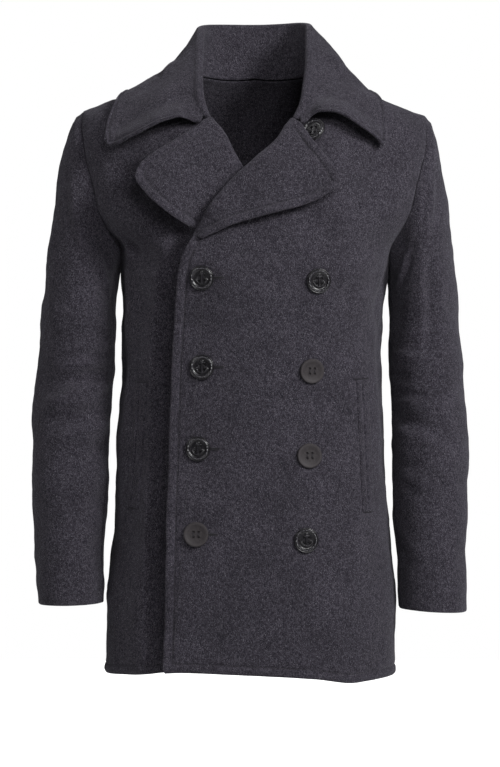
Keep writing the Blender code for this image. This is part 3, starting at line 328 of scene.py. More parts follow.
LAPEL_ROWS = 90
LAPEL_COLUMNS = 50
FOLD_STEPS = 14
COLLAR_FRONT_COLUMNS = 50
FALL_ROWS = 50
STAND_ROWS = 12
END_BLEND = 0.70          # stations beyond which the fall follows the shape of its front end
SHOULDER_STATION = 0.5    # where the collar's foot passes the shoulder seams
FOLD_ARC = (180.0, 20.0)  # degrees over which the fold turns, from inside to outside
BOW_OUT = 0.5             # the fall's hump leans out this much for each unit up
NECK_MIDDLE = (0.005, 0.0, 0.02)


# ---------------------------------------------------------------- lines and grids
STITCH_INSET = 0.0112     # topstitching of the front edges, the hem and the lapels
COLLAR_INSET = 0.0052     # and of the collar
# Distances of the grid's lines from edges, stitching and seams.
EDGE_BAND = np.array([0.0, 0.2, 0.6, 1.2, 2.0, 3.2, 5.0, 7.0, 8.6, 9.8, 10.6, 11.2, 11.8, 12.6, 13.8, 16.0,
                      19.0]) / 1000.0
COLLAR_BAND = np.array([0.0, 0.2, 0.6, 1.2, 2.0, 2.9, 3.9, 4.6, 5.2, 5.8, 6.6, 7.8, 10.0, 13.0]) / 1000.0
SEAM_BAND = np.array([0.0, 0.2, 0.6, 1.2, 2.0, 3.4, 5.5]) / 1000.0
PLAIN_BAND = np.array([0.0])
SHOULDER_BAND = np.array([0.0, 0.00055, 0.0017, 0.0035, 0.0077])  # levels short of the shoulder seam
BAND_SHARE = 0.85         # of a short line that its two end bands may take
LINE_STEP = 0.0004
LEAST_STEP = 1e-7
EDGE_REACH = 0.030        # distances to edges are measured this far


def unit(vectors):
    return vectors / np.maximum(np.linalg.norm(vectors, axis=-1, keepdims=True), 1e-12)


def ease(value, start, end):
    """0 before start, 1 after end, smooth between."""
    t = np.clip((value - start) / (end - start), 0.0, 1.0)
    return t * t * (3.0 - 2.0 * t)


def way_along(points, axis=0, least=0.0):
    """Length of the way along an axis of points, from its start."""
    step = np.maximum(np.linalg.norm(np.diff(points, axis=axis), axis=-1), least)
    return np.concatenate([np.zeros_like(np.take(step, [0], axis)), np.cumsum(step, axis=axis)], axis=axis)


def between(xs, ys, slopes, at):
    """Cubic curve through points with the given slopes."""
    k = np.clip(np.searchsorted(xs, at) - 1, 0, len(xs) - 2)
    step = xs[k + 1] - xs[k]
    t = (at - xs[k]) / step
    if ys.ndim > 1:
        step, t = step[:, None], t[:, None]
    return ((1 + 2 * t) * (1 - t) ** 2 * ys[k] + t * t * (3 - 2 * t) * ys[k + 1]
            + step * (t * (1 - t) ** 2 * slopes[k] - t * t * (1 - t) * slopes[k + 1]))


def smooth_line(run, line, at):
    """Smooth curve through unevenly spaced points, by the way along them."""
    slope = np.empty_like(line)
    slope[1:-1] = (line[2:] - line[:-2]) / (run[2:] - run[:-2])[:, None]
    slope[[0, -1]] = (line[[1, -1]] - line[[0, -2]]) / (run[[1, -1]] - run[[0, -2]])[:, None]
    return between(run, line, slope, at)


def curve(xs, ys, at):
    """Smooth curve through the points that doesn't overshoot them."""
    slopes = np.diff(ys) / np.diff(xs)
    before, after = slopes[:-1], slopes[1:]
    same_way = before * after > 0
    total = np.where(same_way, before + after, 1.0)
    inner = np.where(same_way, 2.0 * before * after / total, 0.0)
    return between(xs, ys, np.concatenate([slopes[:1], inner, slopes[-1:]]), np.clip(at, xs[0], xs[-1]))


def curves(rows, by, at):
    """All columns of a table at given values of one of them."""
    return {name: curve(rows[by], rows[name], at) for name in rows}


def spaced(length, head, tail, count):
    """Places along a line: bands of fixed distances at its two ends and even steps between."""
    squeeze = min(1.0, BAND_SHARE * length / max(head[-1] + tail[-1], 1e-9))
    first, last = head * squeeze, length - tail[::-1] * squeeze
    return np.concatenate([first, np.linspace(first[-1], last[0], count + 2)[1:-1], last])


def resample(sheet, axis, head, tail, count):
    """Grid with its lines along an axis placed anew by distance from the two ends."""
    lines = np.moveaxis(sheet, axis, 0)
    made = np.empty((len(head) + len(tail) + count,) + lines.shape[1:])
    for k in range(lines.shape[1]):
        run = way_along(lines[:, k, :3], least=LEAST_STEP)
        made[:, k] = smooth_line(run, lines[:, k], spaced(run[-1], head, tail, count))
    return np.moveaxis(made, 0, axis)


def distance_to(points, *lines):
    """Distance of each point to the nearest of some lines of points, up to EDGE_REACH."""
    made = np.full(points.shape[:-1], EDGE_REACH)
    for line in lines:
        run = way_along(line, least=LEAST_STEP)
        dense = smooth_line(run, line, np.linspace(0.0, run[-1], int(run[-1] / LINE_STEP) + 2))
        tree = KDTree(len(dense))
        for k, point in enumerate(dense):
            tree.insert(point, k)
        tree.balance()
        middle = dense.mean(axis=0)
        reach = np.linalg.norm(dense - middle, axis=-1).max() + EDGE_REACH
        near = np.linalg.norm(points - middle, axis=-1) < reach
        made[near] = np.minimum(made[near], [tree.find(point)[2] for point in points[near]])
    return made


def grid_normals(points):
    """Normals of a grid of points, from its rows and columns."""
    down, across = np.gradient(points, axis=0), np.gradient(points, axis=1)
    return unit(np.cross(across, down))


def along(points, share):
    """Smooth curve through front-view points, by its share of the length."""
    xy = np.stack([points["across"], points["height"]], axis=-1)
    run = way_along(xy)
    run /= run[-1]
    return np.stack([curve(run, xy[:, k], share) for k in (0, 1)], axis=-1)


def beside_line(start, end, x, z):
    """Share of the way from start to end, and distance off to its side, in a flat view."""
    length = np.linalg.norm(end - start)
    way = (end - start) / length
    return (((x - start[0]) * way[0] + (z - start[1]) * way[1]) / length,
            (x - start[0]) * way[1] - (z - start[1]) * way[0])


# ---------------------------------------------------------------- the body's form
def relief(across, up, folds, scale, names):
    """Sum of the folds' depths at a place given in the folds' own measures."""
    total = np.zeros(np.broadcast(across, up).shape)
    for row in range(len(folds["depth"])):
        start, end = (np.array([folds[way + name][row] for name in names]) * scale for way in ("", "to_"))
        first = folds[names[0]][row]
        turn = (across - first + 180.0) % 360.0 - 180.0
        run, off = beside_line(start, end, (turn + first) * scale[0], up * scale[1])
        fade = ease(run, *FOLD_FADE[:2]) * (1.0 - ease(run, *FOLD_FADE[2:]))
        total += folds["depth"][row] * fade * np.exp(-(off / folds["width"][row]) ** 2)
    return total


def section(level):
    """The body's section at a level: 0 at the hem, 1 at the armpit, 2 at the shoulder seam."""
    level = np.asarray(level, float)
    height = TRUNK["height"][0] + (ARMPIT_HEIGHT - TRUNK["height"][0]) * np.clip(level, 0, 1)
    rise = (1.0 - np.cos(np.pi * np.clip(level - 1.0, 0.0, 1.0))) / 2.0
    trunk = curves(TRUNK, "height", height)
    width, roundness = (np.where(level > 1.0, curve(YOKE["rise"], YOKE[name], rise), trunk[name])
                        for name in ("half_width", "roundness"))
    front = trunk["front"] * (1.0 - rise ** FRONT_ROUND) ** (1.0 / FRONT_ROUND)
    back = trunk["back"] * (1.0 - rise ** BACK_ROUND) ** (1.0 / BACK_ROUND)
    return height, rise, width, front, back, roundness, trunk["centre"]


def surface(angle, level):
    """Point of the body's form, by degrees round from the front centre towards +X and by level."""
    height, rise, width, front, back, roundness, centre = section(level)
    turn = np.radians(angle)
    sine, cosine = np.sin(turn), np.cos(turn)
    power = 2.0 / roundness
    reach = width * np.abs(sine) ** power
    up = np.where(np.asarray(level) > 1.0, 1.0 + YOKE_LEVEL * rise, level)
    fold = relief(angle, up, FOLDS, (DEGREE_LENGTH, LEVEL_LENGTH), ("angle", "level"))
    x = centre + reach * np.sign(sine) + fold * sine
    y = -np.where(cosine > 0, front, back) * np.sign(cosine) * np.abs(cosine) ** power - fold * cosine
    droop = curve(HEM["angle"], HEM["droop"], angle) * (1.0 - ease(level, 0.0, HEM_FADE))
    shoulder = SHOULDER_HEIGHT - SHOULDER_SLOPE * reach
    z = height - droop + (shoulder - ARMPIT_HEIGHT) * rise
    return np.stack([x, y, z], axis=-1)


def surface_normal(angle, level):
    """Outward direction of the form."""
    angle, level = np.broadcast_arrays(np.asarray(angle, float), np.asarray(level, float))
    level = np.clip(level, *NORMAL_LEVELS)
    round_body = surface(angle + NORMAL_TURN, level) - surface(angle - NORMAL_TURN, level)
    up_body = surface(angle, level + NORMAL_RISE) - surface(angle, level - NORMAL_RISE)
    return unit(np.cross(round_body, up_body))


# For measuring how the form faces: degrees round and levels up, and the levels it can be measured at.
NORMAL_TURN, NORMAL_RISE, NORMAL_LEVELS = 0.5, 0.002, (0.002, 1.97)


def angle_at(x, level):
    """Degrees round from the front centre of the form's point at x, on the front half."""
    _, _, width, _, _, roundness, centre = section(level)
    share = np.clip(np.abs(x - centre) / width, 0.0, 0.9999)
    return np.degrees(np.arcsin(share ** (roundness / 2.0))) * np.sign(x - centre)


def locate(x, z):
    """Angle and level of the form's point at x and z, seen from the front."""
    low, high = np.zeros_like(x), np.full_like(x, 1.999)
    for _ in range(SEARCH_STEPS):
        middle = (low + high) / 2.0
        below = surface(angle_at(x, middle), middle)[..., 2] < z
        low, high = np.where(below, middle, low), np.where(below, high, middle)
    return angle_at(x, low), low


def lap_lift(x, z):
    """How far the over-front stands off the body's form to clear the under-front and its lapel."""
    covered = (1.0 - ease(x, *LAP_ACROSS)) * (1.0 - ease(z, *LAP_TOP))
    flare = LAP_FLARE * (1.0 - ease(x, *FLARE_ACROSS)) * (1.0 - ease(z, *FLARE_TOP))
    return covered * (LAP_LOW + (LAP_HIGH - LAP_LOW) * ease(z, *LAP_ROLLED)) + flare


def on_front(x, z, lift, over):
    """Point seen from the front at x and z, standing off the front by lift, and the way outward."""
    lift = lift + (lap_lift(x, z) if over else 0.0)
    at_x, at_z = np.array(x, float), np.array(z, float)
    for _ in range(SETTLE_STEPS):
        angle, level = locate(at_x, at_z)
        normal = surface_normal(angle, level)
        point = surface(angle, level) + normal * np.expand_dims(lift, -1)
        at_x, at_z = at_x + x - point[..., 0], at_z + z - point[..., 2]
    return point, normal


def clear_of_body(points, gap):
    """Points moved outward where they come closer to the body than the gap."""
    behind = points[..., 1] > 0
    angle, level = locate(points[..., 0], points[..., 2])
    angle = np.where(behind, 180.0 - angle, angle)
    normal = surface_normal(angle, level)
    height = np.sum((points - surface(angle, level)) * normal, axis=-1)
    lap = np.where(behind, 0.0, lap_lift(points[..., 0], points[..., 2]))
    return points + normal * np.maximum(gap + lap - height, 0.0)[..., None]


# ---------------------------------------------------------------- armholes and sleeves
HEM_LEVELS = EDGE_BAND / TRUNK_LENGTH
LEVELS = np.concatenate([HEM_LEVELS, np.linspace(HEM_LEVELS[-1], 1.0, TRUNK_STEPS + 1)[1:],
                         np.linspace(1.0, 2.0, YOKE_ROWS - len(SHOULDER_BAND) + 2)[1:-1],
                         2.0 - SHOULDER_BAND[::-1]])
YOKE_LEVELS = LEVELS[TRUNK_ROWS:]
CLIMB = np.pi * (YOKE_LEVELS - 1.0)
ARM_TURN = np.concatenate([CLIMB, 2.0 * np.pi - CLIMB[-2:0:-1]])  # round the sleeve from its inner side


def cut_angle(level, name):
    """Where the side seam or the armhole ends a panel, in degrees from its own centre."""
    return curve(YOKE["rise"], YOKE[name], section(level)[1])


def of_side(rows, side):
    return {name: rows[name][rows["side"] == side] for name in rows}


def sleeve_form(side, loop):
    """Rings of the sleeve from the armhole loop to the cuff."""
    ring = {name: curve(np.arange(float(len(rows))), rows, SLEEVE_RINGS)
            for name, rows in {**SLEEVE_SHAPE, **SLEEVES[side]}.items()}
    outer, inner = (np.stack([ring[at + "_x"], ring["mid_y"], ring[at + "_z"]], axis=-1)
                    for at in ("outer", "inner"))
    middle, half = (outer + inner) / 2.0, (outer - inner) / 2.0
    cosine, sine = np.cos(ARM_TURN)[None, :, None], np.sin(ARM_TURN)[None, :, None]
    reach = sine * ring["half_depth"][:, None, None] * np.array([0.0, -1.0, 0.0]) - cosine * half[:, None]
    off = (loop - middle[0] - reach[0])[None]
    fold = relief(np.degrees(ARM_TURN)[None], SLEEVE_RINGS[:, None], of_side(SLEEVE_FOLDS, side),
                  (TURN_LENGTH, ROW_LENGTH), ("turn", "row"))
    return middle[:, None] + reach + unit(reach) * fold[..., None] + off * ring["armhole"][:, None, None]


def armhole_rims(side):
    """Round the armhole, from the armpit up the front and down the back: its points, the mitre between
    body and sleeve, and the way across the seam. Then the sleeve's rings and their normals."""
    front, back = side * cut_angle(YOKE_LEVELS, "front_cut"), 180.0 - side * cut_angle(YOKE_LEVELS, "back_cut")
    loop, body = (np.concatenate([form(front, YOKE_LEVELS), form(back, YOKE_LEVELS)[-2:0:-1]])
                  for form in (surface, surface_normal))
    body[YOKE_ROWS] = unit(np.array([side * SHOULDER_SLOPE, 0.0, 1.0]))
    rings = sleeve_form(side, loop)
    round_ring = np.roll(rings, -1, axis=1) - np.roll(rings, 1, axis=1)
    normals = unit(np.cross(np.gradient(rings, axis=0), round_ring)) * side
    bisector = unit(body + normals[0])
    out = unit(np.cross(np.roll(loop, -1, axis=0) - np.roll(loop, 1, axis=0), bisector))
    out *= np.sign(np.sum(out * np.array([side, 0.0, -SHOULDER_SLOPE]), axis=-1, keepdims=True))
    return (loop, bisector, out), rings, normals


# ---------------------------------------------------------------- edges of the panels
def setback(z, over):
    """How far a front ends short of its roll line, to leave room for the lapel's fold."""
    low = ROLL_RADIUS if over else PRESSED_RADIUS
    radius = low + (ROLL_RADIUS - low) * ease(z, *PRESSED_TOP)
    return (radius + FLAP_WALL / 2) * ease(z - BREAKS[over], *BREAK_BLEND)


def edge_across(z, over):
    return curve(EDGES[over]["height"], EDGES[over]["across"], z)


def front_end(z, over):
    """Where a front ends as seen from the front: its free edge, or short of its roll line."""
    slope = (edge_across(z + SLOPE_STEP, over) - edge_across(z - SLOPE_STEP, over)) / (2 * SLOPE_STEP)
    short = setback(z, over) + FACET_GAP * ease(z - BREAKS[over], *FACET_BLEND)
    return edge_across(z, over) + (1.0 if over else -1.0) * short * np.sqrt(1.0 + slope ** 2)


def edge_angle(level, over):
    """Where a front's free edge, roll line or neckline lies at each level."""
    x = np.zeros_like(level)
    for _ in range(SEARCH_STEPS):
        angle = angle_at(x, level)
        point = surface(angle, level)
        if over:
            lap = lap_lift(point[..., 0], point[..., 2])
            point = point + surface_normal(angle, level) * lap[..., None]
        x = x + front_end(point[..., 2], over) - point[..., 0]
    return angle_at(x, level)


def neck_level(x):
    """How far up the yoke the back ends: the shoulder seam, or lower at the back neck."""
    share = np.clip(np.abs(x - NECK_CENTRE) / NECK_REACH, 0.0, 1.0)
    depth = NECK_DEPTH_BACK * np.sqrt(1.0 - share ** 2)
    rise = (1.0 - (depth / TRUNK["back"][-1]) ** BACK_ROUND) ** (1.0 / BACK_ROUND)
    return 1.0 + np.arccos(1.0 - 2.0 * rise) / np.pi


NECK_CENTRE = TRUNK["centre"][-1]


def back_top():
    """The back's upper edge, column by column: angle from its centre, and level."""
    x = NECK_CENTRE + NECK_REACH * np.sin(np.pi * np.linspace(-0.5, 0.5, NECK_COLUMNS + 1))[1:-1]
    neck = neck_level(x)
    shoulder = np.linspace(angle_at(np.array([NECK_CENTRE + NECK_REACH]), LEVELS[-1:])[0], 90.0,
                           SHOULDER_COLUMNS + 1)
    angle = np.concatenate([-shoulder[::-1], angle_at(x, neck), shoulder])
    level = np.full_like(angle, LEVELS[-1])
    level[len(shoulder):-len(shoulder)] = neck
    return angle, level


def lapel_plan(over, rows, columns):
    """Front-view points of a lapel beyond its fold: rows along the roll, columns out to the edge."""
    low, top = LAPELS[over]
    s, t = np.linspace(0, 1, rows + 1), np.linspace(0, 1, columns + 1)
    z = BREAKS[over] + (GORGE_HEIGHT - BREAKS[over]) * s
    roll = np.stack([edge_across(z, over), z], axis=-1)
    tangent = unit(np.gradient(roll, axis=0))
    away = np.stack([tangent[:, 1], -tangent[:, 0]], axis=-1) * (1.0 if over else -1.0)
    fold = roll + away * setback(z, over)[:, None]
    free, end = along(low, s), along(top, t)
    plan = fold[:, None] + (free - fold)[:, None] * t[None, :, None]
    corner = end - (fold[-1] + (free[-1] - fold[-1]) * t[:, None])
    return plan + corner[None] * (s ** 2)[:, None, None], away, z


def neckline(station):
    """Points of the neck seam by the collar's station, and the outward directions there."""
    share = np.clip((np.abs(station) - SHOULDER_STATION) / (1.0 - SHOULDER_STATION), 0.0, 1.0)
    tip = SHOULDER_HEIGHT - SHOULDER_SLOPE * NECK_REACH
    heights = tip + (GORGE_HEIGHT + GORGE_GAP - tip) * share
    found = []
    for s, height in zip(station, heights[:, None]):
        if abs(s) > SHOULDER_STATION:
            point, normal = on_front(front_end(height, bool(s > 0)), height, -WALL / 2, bool(s > 0))
        else:
            x = np.array([NECK_CENTRE + NECK_REACH * np.sin(np.pi / 2 * s / SHOULDER_STATION)])
            level = neck_level(x)
            angle = 180.0 - angle_at(x, level)
            normal = surface_normal(angle, level)
            point = surface(angle, level) - normal * WALL / 2
        found.append((point[0], normal[0]))
    return np.array(found).transpose(1, 0, 2)


def end_offset(station, shares, straight):
    """Shift that bends the collar's front ends to the shape of their lower edge."""
    shift = np.zeros(straight.shape)
    for column, end in COLLAR_ENDS.items():
        weight = np.clip((np.sign(station[column]) * station - END_BLEND) / (1.0 - END_BLEND), 0.0, 1.0) ** 2
        start = straight[0, column]
        shape = along({"across": np.append(start[0], end["across"]),
                       "height": np.append(start[2], end["height"])}, shares)
        for k, axis in enumerate((0, 2)):
            shift[..., axis] += (shape[:, k:k + 1] - straight[:, column, axis:axis + 1]) * weight
    return shift


# ---------------------------------------------------------------- cloth: thickness, edges, undulation, creases
SEAM_ROUND = 0.0017       # reach of the rounding beside a seam
EDGE_ROUND = 0.0024       # and at a free edge
FLAP_ROUND = EDGE_ROUND * 1.1
EDGE_LEFT = 0.14          # share of the thickness left at the very edge
GROOVE_DEPTH = 0.00115    # topstitching pulls the cloth in
GROOVE_WIDTH = 0.0014
BORDER_PUFF = 0.0012      # and the border between stitching and edge swells
BORDER_POWER = 0.7
MITRE_BLEND = 0.022       # over which a wall's depth turns to its mitre at the armhole
NECK_STILL = (0.010, 0.040)   # beyond the neck seam, the cloth lies still up to here and moves from there
NECK_SEAM_LOW = -0.04

# Undulation of the cloth: wave length and height.
RIPPLES = table(
    ("length", "height"),
    (0.135, 0.00130), (0.070, 0.00075), (0.038, 0.00036), (0.019, 0.00016), (0.010, 0.00007),
)
WAVES = 14                # plane waves in each
WAVE_SIZES = (0.75, 1.35)


def undulation(points):
    """Smooth uneven field over space, the same for every piece, so that layers move together."""
    draw = np.random.RandomState(7)
    total = np.zeros(points.shape[:-1])
    for length, height in zip(RIPPLES["length"], RIPPLES["height"]):
        way = unit(draw.normal(size=(WAVES, 3)))
        size = draw.uniform(*WAVE_SIZES, WAVES)
        phase = draw.uniform(0.0, 2.0 * np.pi, WAVES)
        for k in range(WAVES):
            turn = 2.0 * np.pi * (points @ way[k]) / (length * size[k]) + phase[k]
            total += height * np.sin(turn) * np.sqrt(2.0 / WAVES)
    return total


CREASE_FADE = (-0.10, 0.32, 0.62, 1.10)  # shares of a crease's length where it starts, is full, and ends
CREASE_TIP = 0.55         # its width at the ends, as a share
TROUGH_OFF, TROUGH_WIDTH = 1.7, 1.25     # of the trough beside a leaning crease, in the crease's widths


def creases(across, up, rows):
    """Sum of creases drawn in a flat view: from, to, bend sideways, half width, height, lean."""
    total = np.zeros(across.shape)
    for x, z, to_x, to_z, bend, width, height, lean in zip(*(rows[name] for name in CREASE)):
        run, off = beside_line(np.array([x, z]), np.array([to_x, to_z]), across, up)
        belly = np.sin(np.pi * np.clip(run, 0.0, 1.0))
        off = (off - bend * belly) / (width * (CREASE_TIP + (1.0 - CREASE_TIP) * belly))
        fade = ease(run, *CREASE_FADE[:2]) * (1.0 - ease(run, *CREASE_FADE[2:]))
        trough = np.exp(-((off - TROUGH_OFF * np.sign(lean)) / TROUGH_WIDTH) ** 2)
        total += height * fade * (np.exp(-off ** 2) - np.abs(lean) * trough)
    return total


def rounding(distance, reach):
    """Share of the thickness left by distance from an edge, on a round nose."""
    t = np.clip(distance / reach, 0.0, 1.0)
    return EDGE_LEFT + (1.0 - EDGE_LEFT) * np.sqrt(np.clip(1.0 - (1.0 - t) ** 2, 0.0, 1.0))


def stitched(distance, inset):
    """Height of the face beside topstitching: a groove along it and a swollen border outside."""
    groove = np.exp(-((distance - inset) / GROOVE_WIDTH) ** 2)
    border = np.sin(np.pi * np.clip(distance / (inset - GROOVE_WIDTH), 0.0, 1.0)) ** BORDER_POWER
    return BORDER_PUFF * border * (distance < inset) - GROOVE_DEPTH * groove


def solid_wall(name, front, back, look, slot=None):
    """Closed mesh between two grids of points."""
    rows, columns = front.shape[:2]
    index = np.arange(rows * columns).reshape(rows, columns)
    quads = np.stack([index[:-1, :-1], index[:-1, 1:], index[1:, 1:], index[1:, :-1]], -1).reshape(-1, 4)
    rim = np.concatenate([index[0, :-1], index[:-1, -1], index[-1, :0:-1], index[:0:-1, 0]])
    after = np.roll(rim, -1)
    sides = np.stack([after, rim, rim + rows * columns, after + rows * columns], -1)
    points = np.concatenate([front.reshape(-1, 3), back.reshape(-1, 3)])
    faces = np.concatenate([quads, quads[:, ::-1] + rows * columns, sides])
    corner = points[faces]
    area = np.cross(corner[:, 2] - corner[:, 0], corner[:, 3] - corner[:, 1])
    if np.sum(corner.mean(axis=1) * area) < 0.0:
        faces = faces[:, ::-1]
    add_piece(name, points, faces.tolist(), look, slot)


SHOULDER_DROP = 0.0055    # the left shoulder hangs lower
DROP_ACROSS = (0.105, 0.165)
DROP_FROM = (-0.200, -0.060)
NECK_KINK = 0.20          # slope by which the back neck would rise to a point at its middle
NECK_ROUND = 0.025
NECK_LOW = (-0.080, -0.020)
NECK_HIGH = (0.030, 0.070)
NECK_FRONT = (0.0, 0.030)
NECK_BACK = (0.078, 0.094)

pieces = {}               # that stand for a solid, by its name


def add_piece(name, points, faces, look, slot=None):
    """Object that rides the coat's only body. One with a slot stands for the solid of its name."""
    x, y, z = np.array(points, float).T
    across = x - NECK_CENTRE
    round_neck = NECK_KINK * (np.hypot(across, NECK_ROUND) - np.abs(across))
    at_neck = (ease(z, *NECK_LOW) * (1.0 - ease(z, *NECK_HIGH)) * ease(y, *NECK_FRONT)
               * (1.0 - ease(y, *NECK_BACK)))
    drop = SHOULDER_DROP * ease(x, *DROP_ACROSS) * ease(z, *DROP_FROM)
    points = np.stack([x, y, z - drop - round_neck * at_neck], axis=-1)
    full_name = "coat_" + name if slot else name
    mesh = bpy.data.meshes.new(full_name)
    mesh.from_pydata(points.tolist(), [], faces)
    mesh.materials.append(looks[look])
    mesh.shade_smooth()
    piece = bpy.data.objects.new(full_name, mesh)
    bpy.context.scene.collection.objects.link(piece)
    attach(piece, "root")
    if slot:
        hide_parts(name)
        pieces[name] = piece
    return mesh


def make_cloth(name, sheet, look, nose, raised, pushed):
    """Piece of cloth from a grid of outer points, depths and ways to push, with its fine form added.

    nose is the share of the thickness left by the edges, raised lifts the outer face alone and pushed
    moves both faces.
    """
    outer, depth, push = sheet[..., :3], sheet[..., 3:6], unit(sheet[..., 6:9])
    out = -unit(depth)
    half = np.linalg.norm(depth, axis=-1, keepdims=True) / 2.0
    middle = outer + depth / 2.0 + push * pushed[..., None]
    front = middle + out * (half * nose[..., None] + raised[..., None])
    solid_wall(name, front, middle - out * half * nose[..., None], look, "wool_" + look)
    return front, out


def crossing(face, out, distance, axis, back=False, inset=STITCH_INSET):
    """Points and outward ways where a distance first grows past a value along an axis, or back along it."""
    way = slice(None, None, -1) if back else slice(None)
    face, out, field = (np.moveaxis(grid, axis, 0)[way] for grid in (face, out, distance))
    found = []
    for k in range(field.shape[1]):
        beyond = np.nonzero((field[:-1, k] < inset) & (field[1:, k] >= inset))[0]
        if len(beyond) > 0:
            j = beyond[0]
            t = (inset - field[j, k]) / (field[j + 1, k] - field[j, k])
            found.append([(1.0 - t) * grid[j, k] + t * grid[j + 1, k] for grid in (face, out)])
    found = np.array(found)
    return found[:, 0], unit(found[:, 1])


# ---------------------------------------------------------------- creases by piece
# Drawn as seen from the front: from and to, how far each bends sideways, half width, height and lean.
CREASE = ("x", "z", "to_x", "to_z", "bend", "width", "height", "lean")
FRONT_CREASES = table(
    CREASE,
    (-0.170, -0.196, -0.105, -0.238, 0.006, 0.010, 0.0030, 0.5),
    (-0.166, -0.222, -0.108, -0.262, 0.005, 0.011, 0.0026, 0.6),
    (-0.160, -0.255, -0.122, -0.300, 0.004, 0.010, -0.0022, 0.3),
    (0.168, -0.215, 0.110, -0.262, -0.006, 0.013, 0.0024, 0.6),
    (0.166, -0.262, 0.118, -0.300, -0.005, 0.012, 0.0020, 0.5),
    (0.060, -0.300, 0.020, -0.420, 0.010, 0.022, 0.0016, 0.4),
    (0.100, -0.420, 0.060, -0.560, -0.012, 0.026, 0.0018, 0.3),
    (0.066, -0.664, 0.106, -0.716, 0.004, 0.014, 0.0022, 0.5),
    (-0.020, -0.560, 0.010, -0.700, 0.010, 0.030, -0.0018, 0.0),
    (-0.168, -0.420, -0.150, -0.560, 0.004, 0.016, 0.0022, 0.5),
    (0.158, -0.560, 0.150, -0.700, -0.004, 0.018, -0.0018, 0.3),
    (-0.128, -0.610, -0.118, -0.730, 0.003, 0.014, -0.0018, 0.3),
)
BACK_CREASES = table(
    CREASE,
    (0.150, -0.180, 0.085, -0.265, 0.008, 0.014, 0.0030, 0.5),
    (-0.140, -0.180, -0.080, -0.260, -0.008, 0.014, 0.0030, 0.5),
    (0.155, -0.235, 0.105, -0.310, 0.006, 0.013, 0.0022, 0.5),
    (-0.145, -0.240, -0.100, -0.320, -0.006, 0.013, 0.0024, 0.5),
    (-0.080, -0.330, 0.070, -0.352, 0.010, 0.020, 0.0022, 0.5),
    (0.110, -0.385, -0.020, -0.405, -0.008, 0.018, 0.0018, 0.5),
    (0.040, -0.500, 0.060, -0.700, 0.012, 0.030, 0.0024, 0.3),
    (-0.060, -0.520, -0.080, -0.720, -0.010, 0.026, -0.0022, 0.2),
    (0.000, -0.060, 0.004, -0.230, 0.006, 0.035, -0.0014, 0.0),
)
UNDER_CREASES = table(    # under the lapel, on the under-front alone
    CREASE,
    (-0.176, -0.112, -0.074, -0.198, -0.013, 0.022, -0.0300, 0.0),
    (-0.160, -0.180, -0.100, -0.218, 0.004, 0.011, 0.0035, 0.0),
    (-0.164, -0.200, -0.108, -0.246, 0.004, 0.010, -0.0045, 0.0),
)
SIDE_SINK = 0.0090        # and towards its side seam
SIDE_REACH = (0.015, 0.070)
SIDE_FACING = (0.35, 0.80)
VALLEY_DEPTH = 0.0135     # how far the under-front sinks beside the over-front's edge
VALLEY_REACH = (0.012, 0.030)
VALLEY_TOP = (-0.215, -0.185)
EDGE_LIFT = 0.0050        # the over-front's edge stands off
EDGE_LIFT_REACH = 0.020
FACING = (0.15, 0.55)     # how much a face has to look forward, or back, for its creases

# Creases of the sleeves, by row of the sleeve table and degrees round, in the sleeve's own lengths.
SLEEVE_CREASES = table(
    ("side", "row", "turn", "to_row", "to_turn", "bend", "width", "height", "lean"),
    (-1, 2.2, 120.0, 4.6, 80.0, 0.004, 0.012, 0.0033, 0.5),
    (-1, 3.0, 60.0, 4.9, 30.0, 0.003, 0.010, 0.0036, 0.5),
    (-1, 4.2, 150.0, 6.6, 120.0, 0.004, 0.016, 0.0027, 0.4),
    (-1, 6.4, 20.0, 7.0, 100.0, 0.004, 0.009, 0.0033, 0.6),
    (-1, 7.0, 30.0, 7.35, 130.0, 0.003, 0.008, 0.0033, 0.6),
    (-1, 7.5, 20.0, 7.75, 110.0, -0.003, 0.008, 0.0039, 0.6),
    (-1, 7.9, 25.0, 8.05, 150.0, 0.003, 0.008, 0.0030, 0.6),
    (-1, 8.3, 15.0, 8.75, 120.0, -0.003, 0.009, 0.0036, 0.6),
    (-1, 9.2, 20.0, 9.9, 110.0, 0.004, 0.011, 0.0027, 0.5),
    (-1, 10.6, 30.0, 11.3, 110.0, 0.004, 0.012, 0.0021, 0.5),
    (1, 2.0, 118.0, 4.4, 96.0, 0.004, 0.013, 0.0036, 0.5),
    (1, 3.0, 60.0, 4.8, 30.0, 0.003, 0.010, 0.0033, 0.5),
    (1, 4.4, 84.0, 7.0, 80.0, 0.003, 0.008, 0.0039, 0.6),
    (1, 6.7, 20.0, 7.25, 110.0, 0.004, 0.009, 0.0033, 0.6),
    (1, 7.4, 15.0, 7.8, 120.0, -0.004, 0.009, 0.0042, 0.6),
    (1, 7.9, 20.0, 8.2, 140.0, 0.003, 0.008, 0.0033, 0.6),
    (1, 8.5, 20.0, 9.1, 130.0, 0.004, 0.009, 0.0039, 0.6),
    (1, 9.3, 10.0, 10.1, 120.0, 0.006, 0.010, 0.0045, 0.6),
    (1, 10.5, 20.0, 11.2, 90.0, -0.004, 0.012, 0.0024, 0.5),
)
HEAD_PUFF = 0.0014        # the sleeve's head swells beside the armhole seam
HEAD_REACH = (0.0035, 0.020)
HEAD_TOP = 175.0          # degrees round the sleeve
HEAD_SIDES = (110.0, 40.0)


def still_near_neck(points):
    """0 at the neck seam, 1 away from it."""
    reach = (np.linalg.norm(points[..., :2] - [NECK_CENTRE, 0.0], axis=-1)
             + np.maximum(NECK_SEAM_LOW - points[..., 2], 0.0))
    return ease(reach, NECK_REACH + NECK_STILL[0], NECK_REACH + NECK_STILL[1])


